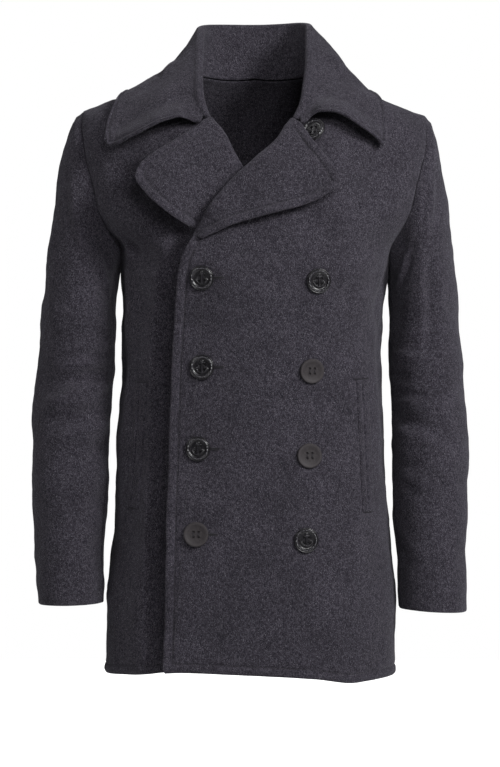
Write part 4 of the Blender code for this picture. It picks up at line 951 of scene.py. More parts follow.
def panel_push(points, out):
    """How far the body's cloth moves at its points: undulation and creases."""
    front, back = (creases(points[..., 0], points[..., 2], rows) for rows in (FRONT_CREASES, BACK_CREASES))
    return (undulation(points) * still_near_neck(points) + front * ease(-out[..., 1], *FACING)
            + back * ease(out[..., 1], *FACING))


def beside_edge(points, out, over):
    """The under-front sinks beside the over-front's edge, which stands off it."""
    x, z = points[..., 0], points[..., 2]
    clear = edge_across(z, True) - x
    below = 1.0 - ease(z, *VALLEY_TOP)
    if over:
        return EDGE_LIFT * np.exp(-np.maximum(-clear, 0.0) / EDGE_LIFT_REACH) * below
    sunk = SIDE_SINK * ease(clear, *SIDE_REACH) * ease(-out[..., 1], *SIDE_FACING)
    valley = VALLEY_DEPTH * (1.0 - ease(clear, *VALLEY_REACH)) + sunk
    return creases(x, z, UNDER_CREASES) - valley * below


def lean_to_mitre(depth, bisector, distance):
    """Depths that turn to the armhole's mitre beside it."""
    near = (1.0 - ease(distance, 0.0, MITRE_BLEND))[..., None]
    way = unit(unit(depth) * (1.0 - near) - bisector * near)
    along_normal = np.sum(way * unit(depth), axis=-1, keepdims=True)
    return way * np.linalg.norm(depth, axis=-1, keepdims=True) / np.maximum(along_normal, SHARPEST_MITRE)


# ---------------------------------------------------------------- body panels
SHOULDER_TURN = (1.93, 2.0)   # levels over which the wall turns square to the shoulder seam
FRONT_RIM = np.arange(YOKE_ROWS + 1)     # a front's and the back's share of the armhole, from the armpit up
BACK_RIM = np.append(0, np.arange(2 * YOKE_ROWS - 1, YOKE_ROWS - 1, -1))
EDGE_STITCHED = (0.022, 0.006)    # below the break, where the stitched border of the front edge fades out
STITCH_STOP = 0.012       # and where its thread ends
HEM_BORDER = 1.5          # width of the hem's stitched border in insets
BACK_SEAM_X = 0.002       # the back's pressed centre seam
SEAM_DIP = 0.0011
SEAM_DIP_WIDTH = 0.0010


def panel_form(angle, height, side):
    """Points and outward ways of a panel, which turn square to the shoulder seam."""
    shoulder = unit(np.multiply(side, [SHOULDER_SLOPE, 0.0, 0.0]) + [0.0, 0.0, 1.0])
    turn = ease(height, *SHOULDER_TURN)[..., None]
    return surface(angle, height), unit(surface_normal(angle, height) * (1.0 - turn) + shoulder * turn)


def joined(form, normal, armholes, back_side):
    """Sheet of a panel set to its side of armholes, side seams and shoulder seam."""
    mitres = []
    for column, rims, rows in armholes:
        loop, bisector, out = (rim[rows] for rim in rims)
        form[TRUNK_ROWS:, column] = loop - out * SEAM_GAP / 2
        seam = form[:TRUNK_ROWS + 1, column]
        seam += unit(form[:TRUNK_ROWS + 1, 1 if column == 0 else -2] - seam) * SEAM_GAP / 2
        mitres.append(np.concatenate([np.repeat(bisector[:1], TRUNK_ROWS, axis=0), bisector])[:, None])
    form[-1, :, 1] += back_side * SEAM_GAP / 2
    depth = -normal * WALL
    below = np.maximum(form[TRUNK_ROWS, armholes[0][0], 2] - form[..., 2], 0.0)
    run = way_along(form, axis=1)
    for (column, _, _), mitre in zip(armholes, mitres):
        distance = run if column == 0 else run[:, -1:] - run
        depth = lean_to_mitre(depth, mitre, distance + below)
    return np.concatenate([form, depth, -depth], axis=-1)


def add_front(name, over, rims):
    side = 1.0 if over else -1.0
    start = edge_angle(LEVELS, over)
    start[-1] = angle_at(NECK_CENTRE + side * NECK_REACH, LEVELS[-1])
    end = side * cut_angle(LEVELS, "front_cut")
    angle = start[:, None] + (end - start)[:, None] * np.linspace(0.0, 1.0, FRONT_COLUMNS + 1)
    form, normal = panel_form(angle, np.broadcast_to(LEVELS[:, None], angle.shape), side)
    if over:
        form = form + normal * lap_lift(form[..., 0], form[..., 2])[..., None]
    sheet = resample(joined(form, normal, [(-1, rims, FRONT_RIM)], -1.0), 1, EDGE_BAND, SEAM_BAND,
                     FRONT_COLUMNS)
    form, out = sheet[..., :3], -unit(sheet[..., 3:6])
    break_row = int(np.argmax(form[:, 0, 2] > BREAKS[over]))
    roll_start = form[break_row, 0, 2]
    edge, hem = distance_to(form, form[:break_row + 1, 0]), distance_to(form, form[0])
    seams = distance_to(form, form[:, -1], form[-1], form[break_row:, 0])
    nose = rounding(np.minimum(edge, hem), EDGE_ROUND) * rounding(seams, SEAM_ROUND)
    below_break = 1.0 - ease(form[..., 2], roll_start - EDGE_STITCHED[0], roll_start - EDGE_STITCHED[1])
    free = np.minimum(np.where(below_break > 0.0, edge, EDGE_REACH), hem)
    raised = stitched(free, STITCH_INSET) * np.maximum(below_break, hem < STITCH_INSET * HEM_BORDER)
    pushed = panel_push(form, out) + beside_edge(form, out, over)
    face, out = make_cloth(name, sheet, "body", nose, raised, pushed)
    keep = slice(0, int(np.argmax(form[:, 0, 2] >= roll_start - STITCH_STOP)))
    up = crossing(face[keep], out[keep], np.where(hem > STITCH_INSET, edge, 0.0)[keep], 1)
    along_hem = crossing(face, out, np.where(edge > STITCH_INSET, hem, 0.0), 0)
    add_thread("stitching_" + name, [up, along_hem])


def add_back(rims_left, rims_right):
    top, top_level = back_top()
    angle = 180.0 - top[None, :] * (cut_angle(LEVELS, "back_cut") / 90.0)[:, None]
    level = LEVELS[:, None]
    height = np.where(level > 1, 1 + (level - 1) * (top_level - 1)[None], level)
    form, normal = panel_form(angle, height, np.sign(top)[None, :, None])
    sheet = joined(form, normal, [(0, rims_right, BACK_RIM), (-1, rims_left, BACK_RIM)], 1.0)
    right, neck, left = np.split(sheet, [SHOULDER_COLUMNS + 1, -SHOULDER_COLUMNS - 1], axis=1)
    sheet = np.concatenate([resample(right, 1, SEAM_BAND, PLAIN_BAND, SHOULDER_COLUMNS), neck,
                            resample(left, 1, PLAIN_BAND, SEAM_BAND, SHOULDER_COLUMNS)], axis=1)
    form, out = sheet[..., :3], -unit(sheet[..., 3:6])
    hem = distance_to(form, form[0])
    nose = rounding(hem, EDGE_ROUND) * rounding(distance_to(form, form[:, 0], form[:, -1], form[-1]),
                                                SEAM_ROUND)
    centre_seam = np.abs(form[..., 0] - BACK_SEAM_X)
    raised = stitched(hem, STITCH_INSET) - SEAM_DIP * np.exp(-(centre_seam / SEAM_DIP_WIDTH) ** 2)
    face, out = make_cloth("back", sheet, "body", nose, raised, panel_push(form, out))
    add_thread("stitching_back", [crossing(face, out, hem, 0)])


# ---------------------------------------------------------------- sleeves
SLEEVE_ROWS = 128
BAND_ROOM = 4             # columns that a part of the sleeve gives up for its bands


def add_sleeve(side, rims, rings, normals):
    loop, bisector, out = rims
    form = rings.copy()
    form[0] = loop + out * SLEEVE_GAP
    from_armhole = way_along(form)
    depth = lean_to_mitre(-normals * WALL, bisector[None], from_armhole)
    own = of_side(SLEEVE_CREASES, side)
    drawn = {**own, "x": own["turn"] * TURN_LENGTH, "z": own["row"] * ROW_LENGTH,
             "to_x": own["to_turn"] * TURN_LENGTH, "to_z": own["to_row"] * ROW_LENGTH}
    turn = np.degrees(ARM_TURN)
    at_turn, at_row = np.meshgrid(turn * TURN_LENGTH, SLEEVE_RINGS * ROW_LENGTH)
    high = ease(np.abs(turn - HEAD_TOP), *HEAD_SIDES)
    puff = HEAD_PUFF * np.sin(np.pi * ease(from_armhole, *HEAD_REACH)) * high
    extra = (creases(at_turn, at_row, drawn) + puff)[..., None]
    sheet = np.concatenate([form, depth, -depth, extra], axis=-1)
    count = len(loop)
    front_seam, back_seam = FRONT_SLEEVE_SEAM, count - BACK_SLEEVE_SEAM
    spans = {"top": np.arange(front_seam, back_seam + 1),
             "under": np.arange(back_seam, count + front_seam + 1) % count}
    for name, columns in spans.items():
        part = sheet[:, columns]
        for end, beside in ((0, 1), (-1, -2)):
            part[:, end, :3] += unit(part[:, beside, :3] - part[:, end, :3]) * SEAM_GAP / 2
        part = resample(part, 1, SEAM_BAND, SEAM_BAND, len(columns) - BAND_ROOM)
        part = resample(part, 0, SEAM_BAND, SEAM_BAND, SLEEVE_ROWS)
        form = part[..., :3]
        seams = distance_to(form, form[:, 0], form[:, -1], form[0])
        nose = rounding(distance_to(form, form[-1]), EDGE_ROUND) * rounding(seams, SEAM_ROUND)
        make_cloth(f"sleeve_{name}_{'left' if side > 0 else 'right'}", part, "body", nose,
                   np.zeros_like(nose), undulation(form) + part[..., 9])


# ---------------------------------------------------------------- lapels
STAND_POWER = 1.6
STAND_TOP = (-0.085, -0.055)
OVER_STAND = 0.0050
OVER_STAND_ACROSS = (-0.050, 0.030)
UNDER_STAND = 0.0260
UNDER_STAND_CLEAR = (0.004, 0.040)
PEAK_DRAWN = (0.0, 0.002, -0.006)     # a lapel's upper corner, under the collar's end
BREAK_DRAWN = (-0.0035, 0.0045, -0.009)   # its lower one, along the front edge
PEAK_REACH = 0.024
GORGE_STITCHED = (-0.070, -0.060)  # heights over which the lapel's upper stitching ends at the gorge
GORGE_THREAD = FOLD_STEPS + 6      # columns from the fold where its thread starts
LAPEL_FOLLOWS = 0.8
LAPEL_CREASES = table(
    CREASE,
    (-0.100, -0.110, -0.060, -0.170, 0.004, 0.020, 0.0010, 0.0),
    (0.060, -0.120, 0.020, -0.170, 0.004, 0.020, -0.0010, 0.0),
)


def lapel_stand(form, over):
    """How far a lapel stands off, more towards its free edge and clear of what lies over it."""
    x, z = form[..., 0], form[..., 2]
    out = np.linspace(0.0, 1.0, form.shape[1])[None] ** STAND_POWER
    below_collar = 1.0 - ease(z, *STAND_TOP)
    if over:
        return OVER_STAND * out * below_collar * ease(x, *OVER_STAND_ACROSS)
    return UNDER_STAND * out * below_collar * ease(edge_across(z, True) - x, *UNDER_STAND_CLEAR)


def draw_corner(sheet, row, way):
    """Moves a lapel's points near its fold at one of its end rows."""
    corner = sheet[row, FOLD_STEPS // 2, :3]
    near = 1.0 - ease(np.linalg.norm(sheet[..., :3] - corner, axis=-1), 0.0, PEAK_REACH)
    sheet[..., :3] += near[..., None] * np.array(way)


def add_lapel(name, over):
    plan, away, z = lapel_plan(over, LAPEL_ROWS, LAPEL_COLUMNS)
    radius = np.maximum(setback(z, over) - FLAP_WALL / 2, BREAK_RADIUS)[:, None]
    turn = np.radians(np.linspace(-90.0, 90.0, FOLD_STEPS + 1))[None, :-1]
    fold = plan[:, :1] - away[:, None] * (radius * np.cos(turn))[..., None]
    share = np.linspace(0, 1, LAPEL_COLUMNS + 1)[None]
    free = 1.0 if over else ease(edge_across(plan[..., 1], True) - plan[..., 0], *PRESSED_REACH)
    least = np.minimum(1.0, PRESSED_RISE[0] + PRESSED_RISE[1] * share)
    flat_lift = np.maximum(2 * radius + LAPEL_RISE * share ** RISE_POWER * free, 2 * PRESSED_RADIUS * least)
    lift = np.concatenate([radius + radius * np.sin(turn), flat_lift], axis=1) - WALL / 2
    points = np.concatenate([fold, plan], axis=1)
    centre, body_out = on_front(points[..., 0], points[..., 1], lift, over)
    centre[:, 0] += unit(centre[:, 1] - centre[:, 0]) * ROLL_GAP
    normal = grid_normals(centre)
    if np.mean(normal[:, -1, 1]) > 0:
        normal = -normal
    sheet = np.concatenate([centre + normal * FLAP_WALL / 2, -normal * FLAP_WALL, body_out], axis=-1)
    draw_corner(sheet, -1, PEAK_DRAWN)
    if over:
        draw_corner(sheet, 0, BREAK_DRAWN)
    sheet = resample(sheet, 1, PLAIN_BAND, EDGE_BAND, LAPEL_COLUMNS + FOLD_STEPS)
    sheet = resample(sheet, 0, SEAM_BAND, EDGE_BAND, LAPEL_ROWS)
    form = sheet[..., :3]
    side, gorge = distance_to(form, form[:, -1]), distance_to(form, form[-1])
    edge = np.minimum(side, gorge)
    nose = rounding(edge, FLAP_ROUND) * rounding(distance_to(form, form[0], form[:, 0]), SEAM_ROUND)
    raised = stitched(edge, STITCH_INSET) * (1.0 - ease(form[..., 2], *GORGE_STITCHED))
    pushed = undulation(form) * still_near_neck(form) * LAPEL_FOLLOWS
    pushed += creases(form[..., 0], form[..., 2], LAPEL_CREASES)
    sheet[..., 1] -= lapel_stand(form, over)
    face, out = make_cloth(name, sheet, "trim", nose, raised, pushed)
    side_line = crossing(face, out, np.where(gorge > STITCH_INSET, side, 0.0), 1, back=True)
    top_line = crossing(face, out, np.where(side > STITCH_INSET, gorge, 0.0), 0, back=True)
    add_thread("stitching_" + name, [side_line, [line[GORGE_THREAD:] for line in top_line]])


# ---------------------------------------------------------------- collar
COLLAR_PUFF = 0.75
END_LIFT = 0.0075         # the collar's front ends lie over the lapels
END_REACH = (0.006, 0.028)
FALL_STAND = 0.0130       # the fall's lower edge stands off between its ends
BOW_FROM = (0.068, 0.095)
BOW_TO = (0.140, 0.180)
COLLAR_SETTLE = 6         # rounds that even out its form, and how far each goes
SETTLE_SHARE = 0.5
FOLLOW_ROWS = 12.0        # rows past the fold over which the fine form sets in
FOLD_SHARE = 0.6          # of the fold's rows that count as stand
FEWER_ROWS = 6
CREASED_FRONT = (-0.01, 0.03)     # distances ahead of the shoulder line over which its creases set in
COLLAR_CREASES = table(
    CREASE,
    (-0.098, 0.040, -0.116, 0.008, 0.002, 0.006, 0.0030, 0.6),
    (0.106, 0.050, 0.122, 0.016, -0.002, 0.007, 0.0026, 0.6),
)


def relaxed(grid, rounds):
    """Grid with its inner points drawn towards their neighbours."""
    for _ in range(rounds):
        mean = (grid[:-2, 1:-1] + grid[2:, 1:-1] + grid[1:-1, :-2] + grid[1:-1, 2:]) / 4.0
        grid = grid.copy()
        grid[1:-1, 1:-1] += (mean - grid[1:-1, 1:-1]) * SETTLE_SHARE
    return grid


def add_collar():
    front_run = np.linspace(-1.0, -SHOULDER_STATION, COLLAR_FRONT_COLUMNS + 1)
    back_run = np.linspace(-SHOULDER_STATION, SHOULDER_STATION, NECK_COLUMNS + 1)
    station = np.concatenate([front_run, back_run[1:-1], -front_run[::-1]])
    part = curves(COLLAR, "station", station)
    roll, edge = (np.stack([part[line + axis] for axis in ("_x", "_y", "_z")], axis=-1)
                  for line in ("roll", "edge"))
    seam, normal = neckline(station)
    inward = unit(np.cross(normal, unit(np.gradient(seam, axis=0))))
    inward *= np.sign(np.sum(inward * (np.array(NECK_MIDDLE) - seam), axis=-1, keepdims=True))
    foot = seam + inward * (FLAP_WALL / 2 + NECK_GAP)
    out = unit((edge - roll) * [1.0, 1.0, 0.0])
    crest = unit(np.cross(out, np.gradient(roll, axis=0)))
    crest *= np.sign(crest @ [0.0, -1.0, 1.0])[:, None]
    hub = roll + out * COLLAR_RADIUS - crest * COLLAR_RADIUS
    rows = [foot + (hub - out * COLLAR_RADIUS - foot) * k / STAND_ROWS for k in range(STAND_ROWS)]
    rows += [hub + COLLAR_RADIUS * (np.cos(turn) * out + np.sin(turn) * crest)
             for turn in np.radians(np.linspace(*FOLD_ARC, FOLD_STEPS + 1))]
    shares = np.linspace(0.0, 1.0, FALL_ROWS + 1)
    straight = rows[-1][None] + (edge - rows[-1])[None] * shares[:, None, None]
    bow = part["hump"][None] * np.sin(np.pi * shares)[:, None]
    fall = (straight + (out * BOW_OUT + [0.0, 0.0, 1.0])[None] * bow[..., None]
            + end_offset(station, shares, straight))
    centre = np.concatenate([np.array(rows[:-1]), fall])
    over_front = STAND_ROWS + FOLD_STEPS - 1
    centre[over_front:] = clear_of_body(centre[over_front:], COLLAR_CLEARANCE)
    centre = relaxed(centre, COLLAR_SETTLE)
    normals = grid_normals(centre)
    if np.mean(normals[-1, :, 2]) < 0:
        normals = -normals
    follow = np.clip((np.arange(len(centre)) - over_front) / FOLLOW_ROWS, 0.0, 1.0)
    follow = np.broadcast_to(follow[:, None, None], centre.shape[:2] + (1,))
    sheet = np.concatenate([centre + normals * FLAP_WALL / 2, -normals * FLAP_WALL, normals, follow], axis=-1)
    sheet = resample(sheet, 0, SEAM_BAND, COLLAR_BAND, STAND_ROWS + FOLD_STEPS + FALL_ROWS - FEWER_ROWS)
    sheet = resample(sheet, 1, COLLAR_BAND, COLLAR_BAND, 2 * COLLAR_FRONT_COLUMNS + NECK_COLUMNS)
    form, follow = sheet[..., :3], sheet[..., 9]
    fold_row = int(STAND_ROWS + FOLD_STEPS * FOLD_SHARE)
    outer = distance_to(form, form[-1])
    right, left = (distance_to(form, form[fold_row:, k]) for k in (0, -1))
    ends = np.minimum(right, left)
    free = np.minimum(outer, ends)
    stand = distance_to(form, form[0], form[:fold_row, 0], form[:fold_row, -1])
    nose = rounding(free, FLAP_ROUND) * rounding(stand, SEAM_ROUND)
    raised = stitched(free, COLLAR_INSET) * COLLAR_PUFF * follow
    pushed = undulation(form) * follow * LAPEL_FOLLOWS
    across = np.abs(form[..., 0])
    bowed = ease(across, *BOW_FROM) * (1.0 - ease(across, *BOW_TO)) * (1.0 - ease(ends, 0.0, EDGE_REACH))
    stand_off = END_LIFT * (1.0 - ease(ends, *END_REACH)) + FALL_STAND * bowed * (form[..., 1] < 0.0)
    sheet[..., 1] -= stand_off * follow
    pushed += (creases(form[..., 0], form[..., 2], COLLAR_CREASES) * follow
               * ease(-form[..., 1], *CREASED_FRONT))
    face, out = make_cloth("collar", sheet, "trim", nose, raised, pushed)
    lines = [crossing(face[fold_row:], out[fold_row:], np.where(outer > COLLAR_INSET, end, 0.0)[fold_row:], 1,
                      back, COLLAR_INSET) for end, back in ((right, False), (left, True))]
    lines.append(crossing(face, out, np.where(ends > COLLAR_INSET, outer, 0.0), 0, True, COLLAR_INSET))
    add_thread("stitching_collar", lines)


# ---------------------------------------------------------------- thread
STITCH_PITCH = 0.0040     # from one stitch to the next
STITCH_LENGTH = 0.0031
THREAD_RADIUS = 0.00036
THREAD_SIDES = 6
# along a stitch: share of its length, share of the radius, and height over the cloth in radii
STITCH_FORM = table(
    ("share", "radius", "height"),
    (0.00, 0.35, -0.7), (0.14, 0.90, 0.1), (0.50, 1.00, 0.5), (0.86, 0.90, 0.1), (1.00, 0.35, -0.7),
)


def add_bars(name, groups, radius):
    """One mesh with short rounded threads, from groups of their starts, ends and outward ways."""
    starts, ends, outs = (np.concatenate([np.atleast_2d(group[k]) for group in groups]) for k in range(3))
    middle = starts[:, None] + (ends - starts)[:, None] * STITCH_FORM["share"][None, :, None]
    middle = middle + outs[:, None] * (STITCH_FORM["height"] * radius)[None, :, None]
    way = unit(ends - starts)
    side = unit(np.cross(way, outs))
    over = np.cross(side, way)
    turn = np.linspace(0.0, 2.0 * np.pi, THREAD_SIDES, endpoint=False)
    ring = np.cos(turn)[None, :, None] * side[:, None] + np.sin(turn)[None, :, None] * over[:, None]
    thick = (STITCH_FORM["radius"] * radius)[None, :, None, None]
    points = (middle[:, :, None] + ring[:, None] * thick).reshape(-1, 3)
    rings = len(STITCH_FORM["share"])
    j, i = np.meshgrid(np.arange(rings - 1), np.arange(THREAD_SIDES), indexing="ij")
    a, b = j * THREAD_SIDES + i, j * THREAD_SIDES + (i + 1) % THREAD_SIDES
    faces = np.stack([a, a + THREAD_SIDES, b + THREAD_SIDES, b], -1).reshape(-1, 4)
    far = (rings - 1) * THREAD_SIDES
    caps = np.array([[0, 1, 2, 3], [0, 3, 4, 5], [far + 3, far + 2, far + 1, far],
                     [far + 5, far + 4, far + 3, far]])
    start = np.arange(len(starts))[:, None, None] * rings * THREAD_SIDES
    add_piece(name, points, (np.concatenate([faces, caps])[None] + start).reshape(-1, 4).tolist(), "thread")


def stitch_line(points, outs):
    """Starts, ends and outward ways of the stitches along a line."""
    run = way_along(points)
    first = np.arange(0.0, run[-1] - STITCH_LENGTH, STITCH_PITCH)
    start, end, out = (np.stack([np.interp(at, run, line[:, k]) for k in range(3)], -1)
                       for at, line in ((first, points), (first + STITCH_LENGTH, points), (first, outs)))
    return start, end, unit(out)


def add_thread(name, lines):
    """One mesh with the stitches of several lines."""
    add_bars(name, [stitch_line(points, outs) for points, outs in lines if len(points) > 2], THREAD_RADIUS)


# ---------------------------------------------------------------- what lies on the fronts
def seen_from_front(name):
    """Finder of the outermost face of a piece along +Y."""
    mesh = pieces[name].data
    tree = BVHTree.FromPolygons([v.co for v in mesh.vertices], [p.vertices for p in mesh.polygons])

    def find(x, z):
        x, z = np.broadcast_arrays(np.asarray(x, float), np.asarray(z, float))
        hits = [tree.ray_cast(Vector((a, -1.0, b)), Vector((0.0, 1.0, 0.0)))[0]
                for a, b in zip(x.ravel(), z.ravel())]
        return np.array([tuple(hit) for hit in hits]).reshape(x.shape + (3,))

    return find


WELT_ROWS, WELT_COLUMNS = 90, 24
WELT_HIGH = 0.0020
WELT_LOW = 0.0002         # and its least height, at its edges and in the opening
WELT_LIP = 0.0030         # rounding of its edges
WELT_RAISED, WELT_SUNK = 0.0001, 0.0006   # of its outer and inner face from the front
WELT_STITCH = 0.0022
STITCH_ENDS = slice(3, -3)        # rows of the welt that its stitching runs along
WELT_OPEN = -0.08         # the opening's place across the welt
OPEN_WIDTH = 0.0009
OPEN_DEPTH = 0.0016
OPEN_ENDS = (0.004, 0.012)        # distances from the welt's ends over which it sets in
TACK_WIDTHS = (0.0190, 0.0100)    # upper and lower
TACK_PITCH = 0.0015
TACK_HEIGHT = 0.0022
TACK_LIFT = [0.0, -0.0016, 0.0]
TACK_RADIUS = 0.00048


def add_welt(side, top, low):
    name = "left" if side > 0 else "right"
    find = finders["front_over" if side > 0 else "front_under"]
    length = np.linalg.norm(low - top)
    down = (low - top) / length
    right = np.array([-down[1], down[0]])
    t, u = np.meshgrid(np.linspace(0.0, length, WELT_ROWS),
                       np.linspace(-0.5, 0.5, WELT_COLUMNS) * WELT_WIDTH, indexing="ij")
    place = top + down * t[..., None] + right * u[..., None]
    base = find(place[..., 0], place[..., 1])
    out = grid_normals(base)
    out = out * np.sign(-out[..., 1:2])
    from_end = np.minimum(t, length - t)
    edge = np.clip(np.minimum(WELT_WIDTH / 2 - np.abs(u), from_end) / WELT_LIP, 0, 1)
    high = WELT_HIGH * np.sqrt(np.clip(1.0 - (1.0 - edge) ** 2, 0.0, 1.0))
    opening = np.exp(-((u - WELT_OPEN * WELT_WIDTH) / OPEN_WIDTH) ** 2)
    high = np.maximum(high - OPEN_DEPTH * opening * ease(from_end, *OPEN_ENDS), WELT_LOW)
    front = base + out * (high + WELT_RAISED)[..., None]
    solid_wall("pocket_welt_" + name, front, base - out * WELT_SUNK, "trim", "wool_trim")
    inset = [int(np.argmin(np.abs(u[0] - s * (WELT_WIDTH / 2 - WELT_STITCH)))) for s in (-1, 1)]
    add_thread("stitching_pocket_welt_" + name, [(front[STITCH_ENDS, k], out[STITCH_ENDS, k]) for k in inset])
    tacks = []
    for row, end, width in zip((0, -1), (0.0, length), TACK_WIDTHS):
        middle = top + down * end + right * np.arange(-width / 2, width / 2, TACK_PITCH)[:, None]
        tips = [find(*(middle + down * shift).T) + TACK_LIFT for shift in (-TACK_HEIGHT / 2, TACK_HEIGHT / 2)]
        tacks.append((*tips, np.repeat(out[row, WELT_COLUMNS // 2][None], len(middle), axis=0)))
    add_bars("bar_tacks_" + name, tacks, TACK_RADIUS)


HOLE_LENGTH = 0.027       # buttonhole from the button's middle towards the centre
HOLE_STITCH = 0.0020
HOLE_PITCH = 0.00095
HOLE_LIP, HOLE_EYE = 0.0004, 0.0005   # from the slit's middle to its stitches, and at its round end
EYE_STITCHES = 9
HOLE_LIFTS = (0.0003, 0.0001)     # of the stitches over the cloth, at the slit and away from it
HOLE_RADIUS = 0.00034
# The slit is a near-black strip between the lips: a painted shade of the opening.
SLIT_LENS = 0.0006        # half width of the slit at its middle
SLIT_LIFT = [0.0, -0.0004, 0.0]
SLIT_WALL = [0.0, 0.0006, 0.0]
SLIT_LEAST = 0.02


def add_buttonhole(name, x, z):
    """Buttonhole with stitched lips, running from under the button towards the coat's centre; its slit is a
    near-black strip, a painted shade of the opening.
    """
    find = finders["front_over"]
    count = int(HOLE_LENGTH / HOLE_PITCH)
    across = x + np.arange(count) * HOLE_PITCH
    turn = np.linspace(-0.5 * np.pi, 0.5 * np.pi, EYE_STITCHES)[1:-1]
    stitches = []
    for start, right, up, inner in ((across, 0.0, -1.0, HOLE_LIP), (across, 0.0, 1.0, HOLE_LIP),
                                    (across[-1] + HOLE_PITCH, np.cos(turn), np.sin(turn), HOLE_EYE)):
        tips = [find(start + reach * right, z + reach * up) + [0.0, -lift, 0.0]
                for reach, lift in zip((inner, HOLE_STITCH), HOLE_LIFTS)]
        stitches.append((*tips, np.broadcast_to([0.0, -1.0, 0.0], tips[0].shape)))
    add_bars("buttonhole_" + name, stitches, HOLE_RADIUS)
    # near-black strip between the lips: painted shade inside the slit
    lens = SLIT_LENS * np.sqrt(np.clip(1.0 - np.linspace(-1.0, 1.0, count) ** 2, SLIT_LEAST, 1.0))
    front = np.stack([find(across, z) + SLIT_LIFT + lens[:, None] * [0, 0, s] for s in (-1.0, 1.0)], axis=1)
    solid_wall("slit_shade_" + name, front, front + SLIT_WALL, "slit_shade")


# ---------------------------------------------------------------- buttons
BUTTON_SEAT = 0.0002
COLLAR_BUTTON_LEAN = -0.55        # it hangs turned to the middle, under the collar
BUTTON_RINGS, BUTTON_TURNS = 56, 128
RING_SHARES = (0.35, 0.65)        # of rings that crowd to the rim, and of evenly spaced ones
BUTTON_FOOT = 0.90        # radius of its flat underside, and of the ring that it is seated by, in radii
BUTTON_SHARP = 0.9        # radians from which its edges are sharp
BUTTON_SECTION = {
    # share of the radius and height in radii
    "roped": table(("share", "height"), (0.0, 0.13), (0.60, 0.13), (0.68, 0.15), (0.71, 0.18), (0.79, 0.19),
                   (0.87, 0.18), (0.90, 0.165), (0.93, 0.185), (0.96, 0.188), (0.99, 0.14), (1.0, 0.08)),
    "plain": table(("share", "height"), (0.0, 0.11), (0.45, 0.115), (0.66, 0.15), (0.84, 0.205),
                   (0.92, 0.21), (0.98, 0.15), (1.0, 0.08)),
}
ROPE_STRANDS = 18
ROPE_HEIGHT = 0.070
ROPE_BAND = (0.71, 0.79, 0.87)    # inside, middle and outside of the rope, in radii
ROPE_CREST = 0.03         # half width of its level top
ROPE_TWIST = 26.0         # radians by which a strand turns over one radius
ROPE_ROUND = 0.7
HOLES = (-0.20, 0.20)     # the four holes from the middle, across and up, in radii
HOLE_DEEP = 0.135
HOLE_WALL = (0.077, 0.107)        # from its bottom to its rim
ANCHOR_HIGH = 0.090
ANCHOR_LINE = (0.018, 0.063)      # half widths of the anchor's bars, at their top and their foot
# bars of the anchor: from and to, in radii
ANCHOR_BARS = (
    (0.0, 0.40, 0.0, -0.44), (-0.20, 0.33, 0.20, 0.33),
    (-0.47, -0.14, -0.33, -0.02), (0.47, -0.14, 0.33, -0.02), (-0.47, -0.14, -0.37, -0.22),
    (0.47, -0.14, 0.37, -0.22),
)
ANCHOR_ARC = (0.0, 0.02, 0.46)    # middle and radius of its arms, over their lower part
ARC_SLANT = 0.45
ANCHOR_RING = (0.0, 0.47, 0.075)
SEWING_SPREAD = (-0.03, 0.03)     # the two threads between a pair of holes, in radii
SEWING_LIFT = 0.0002
SEWING_RADIUS = 0.00024


def anchor(x, y):
    """Height of a plain anchor in relief, 0 to 1."""
    arc, near = (np.abs(np.hypot(x - form[0], y - form[1]) - form[2]) for form in (ANCHOR_ARC, ANCHOR_RING))
    near = np.minimum(near, np.where(y < ANCHOR_ARC[1] - ARC_SLANT * np.abs(x), arc, 1.0))
    for bar in ANCHOR_BARS:
        start, way = np.array(bar[:2]), np.array(bar[2:]) - bar[:2]
        share = np.clip(((x - start[0]) * way[0] + (y - start[1]) * way[1]) / (way @ way), 0.0, 1.0)
        near = np.minimum(near, np.hypot(x - start[0] - way[0] * share, y - start[1] - way[1] * share))
    return 1.0 - ease(near, *ANCHOR_LINE)


def button_height(share, turn, kind):
    """Height of a button's face in radii."""
    high = curve(BUTTON_SECTION[kind]["share"], BUTTON_SECTION[kind]["height"], share)
    x, y = share * np.cos(turn), share * np.sin(turn)
    if kind == "roped":
        inside, middle, outside = ROPE_BAND
        on_rope = (ease(share, inside, middle - ROPE_CREST)
                   * (1.0 - ease(share, middle + ROPE_CREST, outside)))
        twist = ROPE_STRANDS * turn + ROPE_TWIST * (share - middle)
        high = high + ROPE_HEIGHT * on_rope * np.abs(np.sin(twist / 2.0)) ** ROPE_ROUND
        high = high + ANCHOR_HIGH * anchor(x, y)
    for across in HOLES:
        for up in HOLES:
            high = high - HOLE_DEEP * (1.0 - ease(np.hypot(x - across, y - up), *HOLE_WALL))
    return high


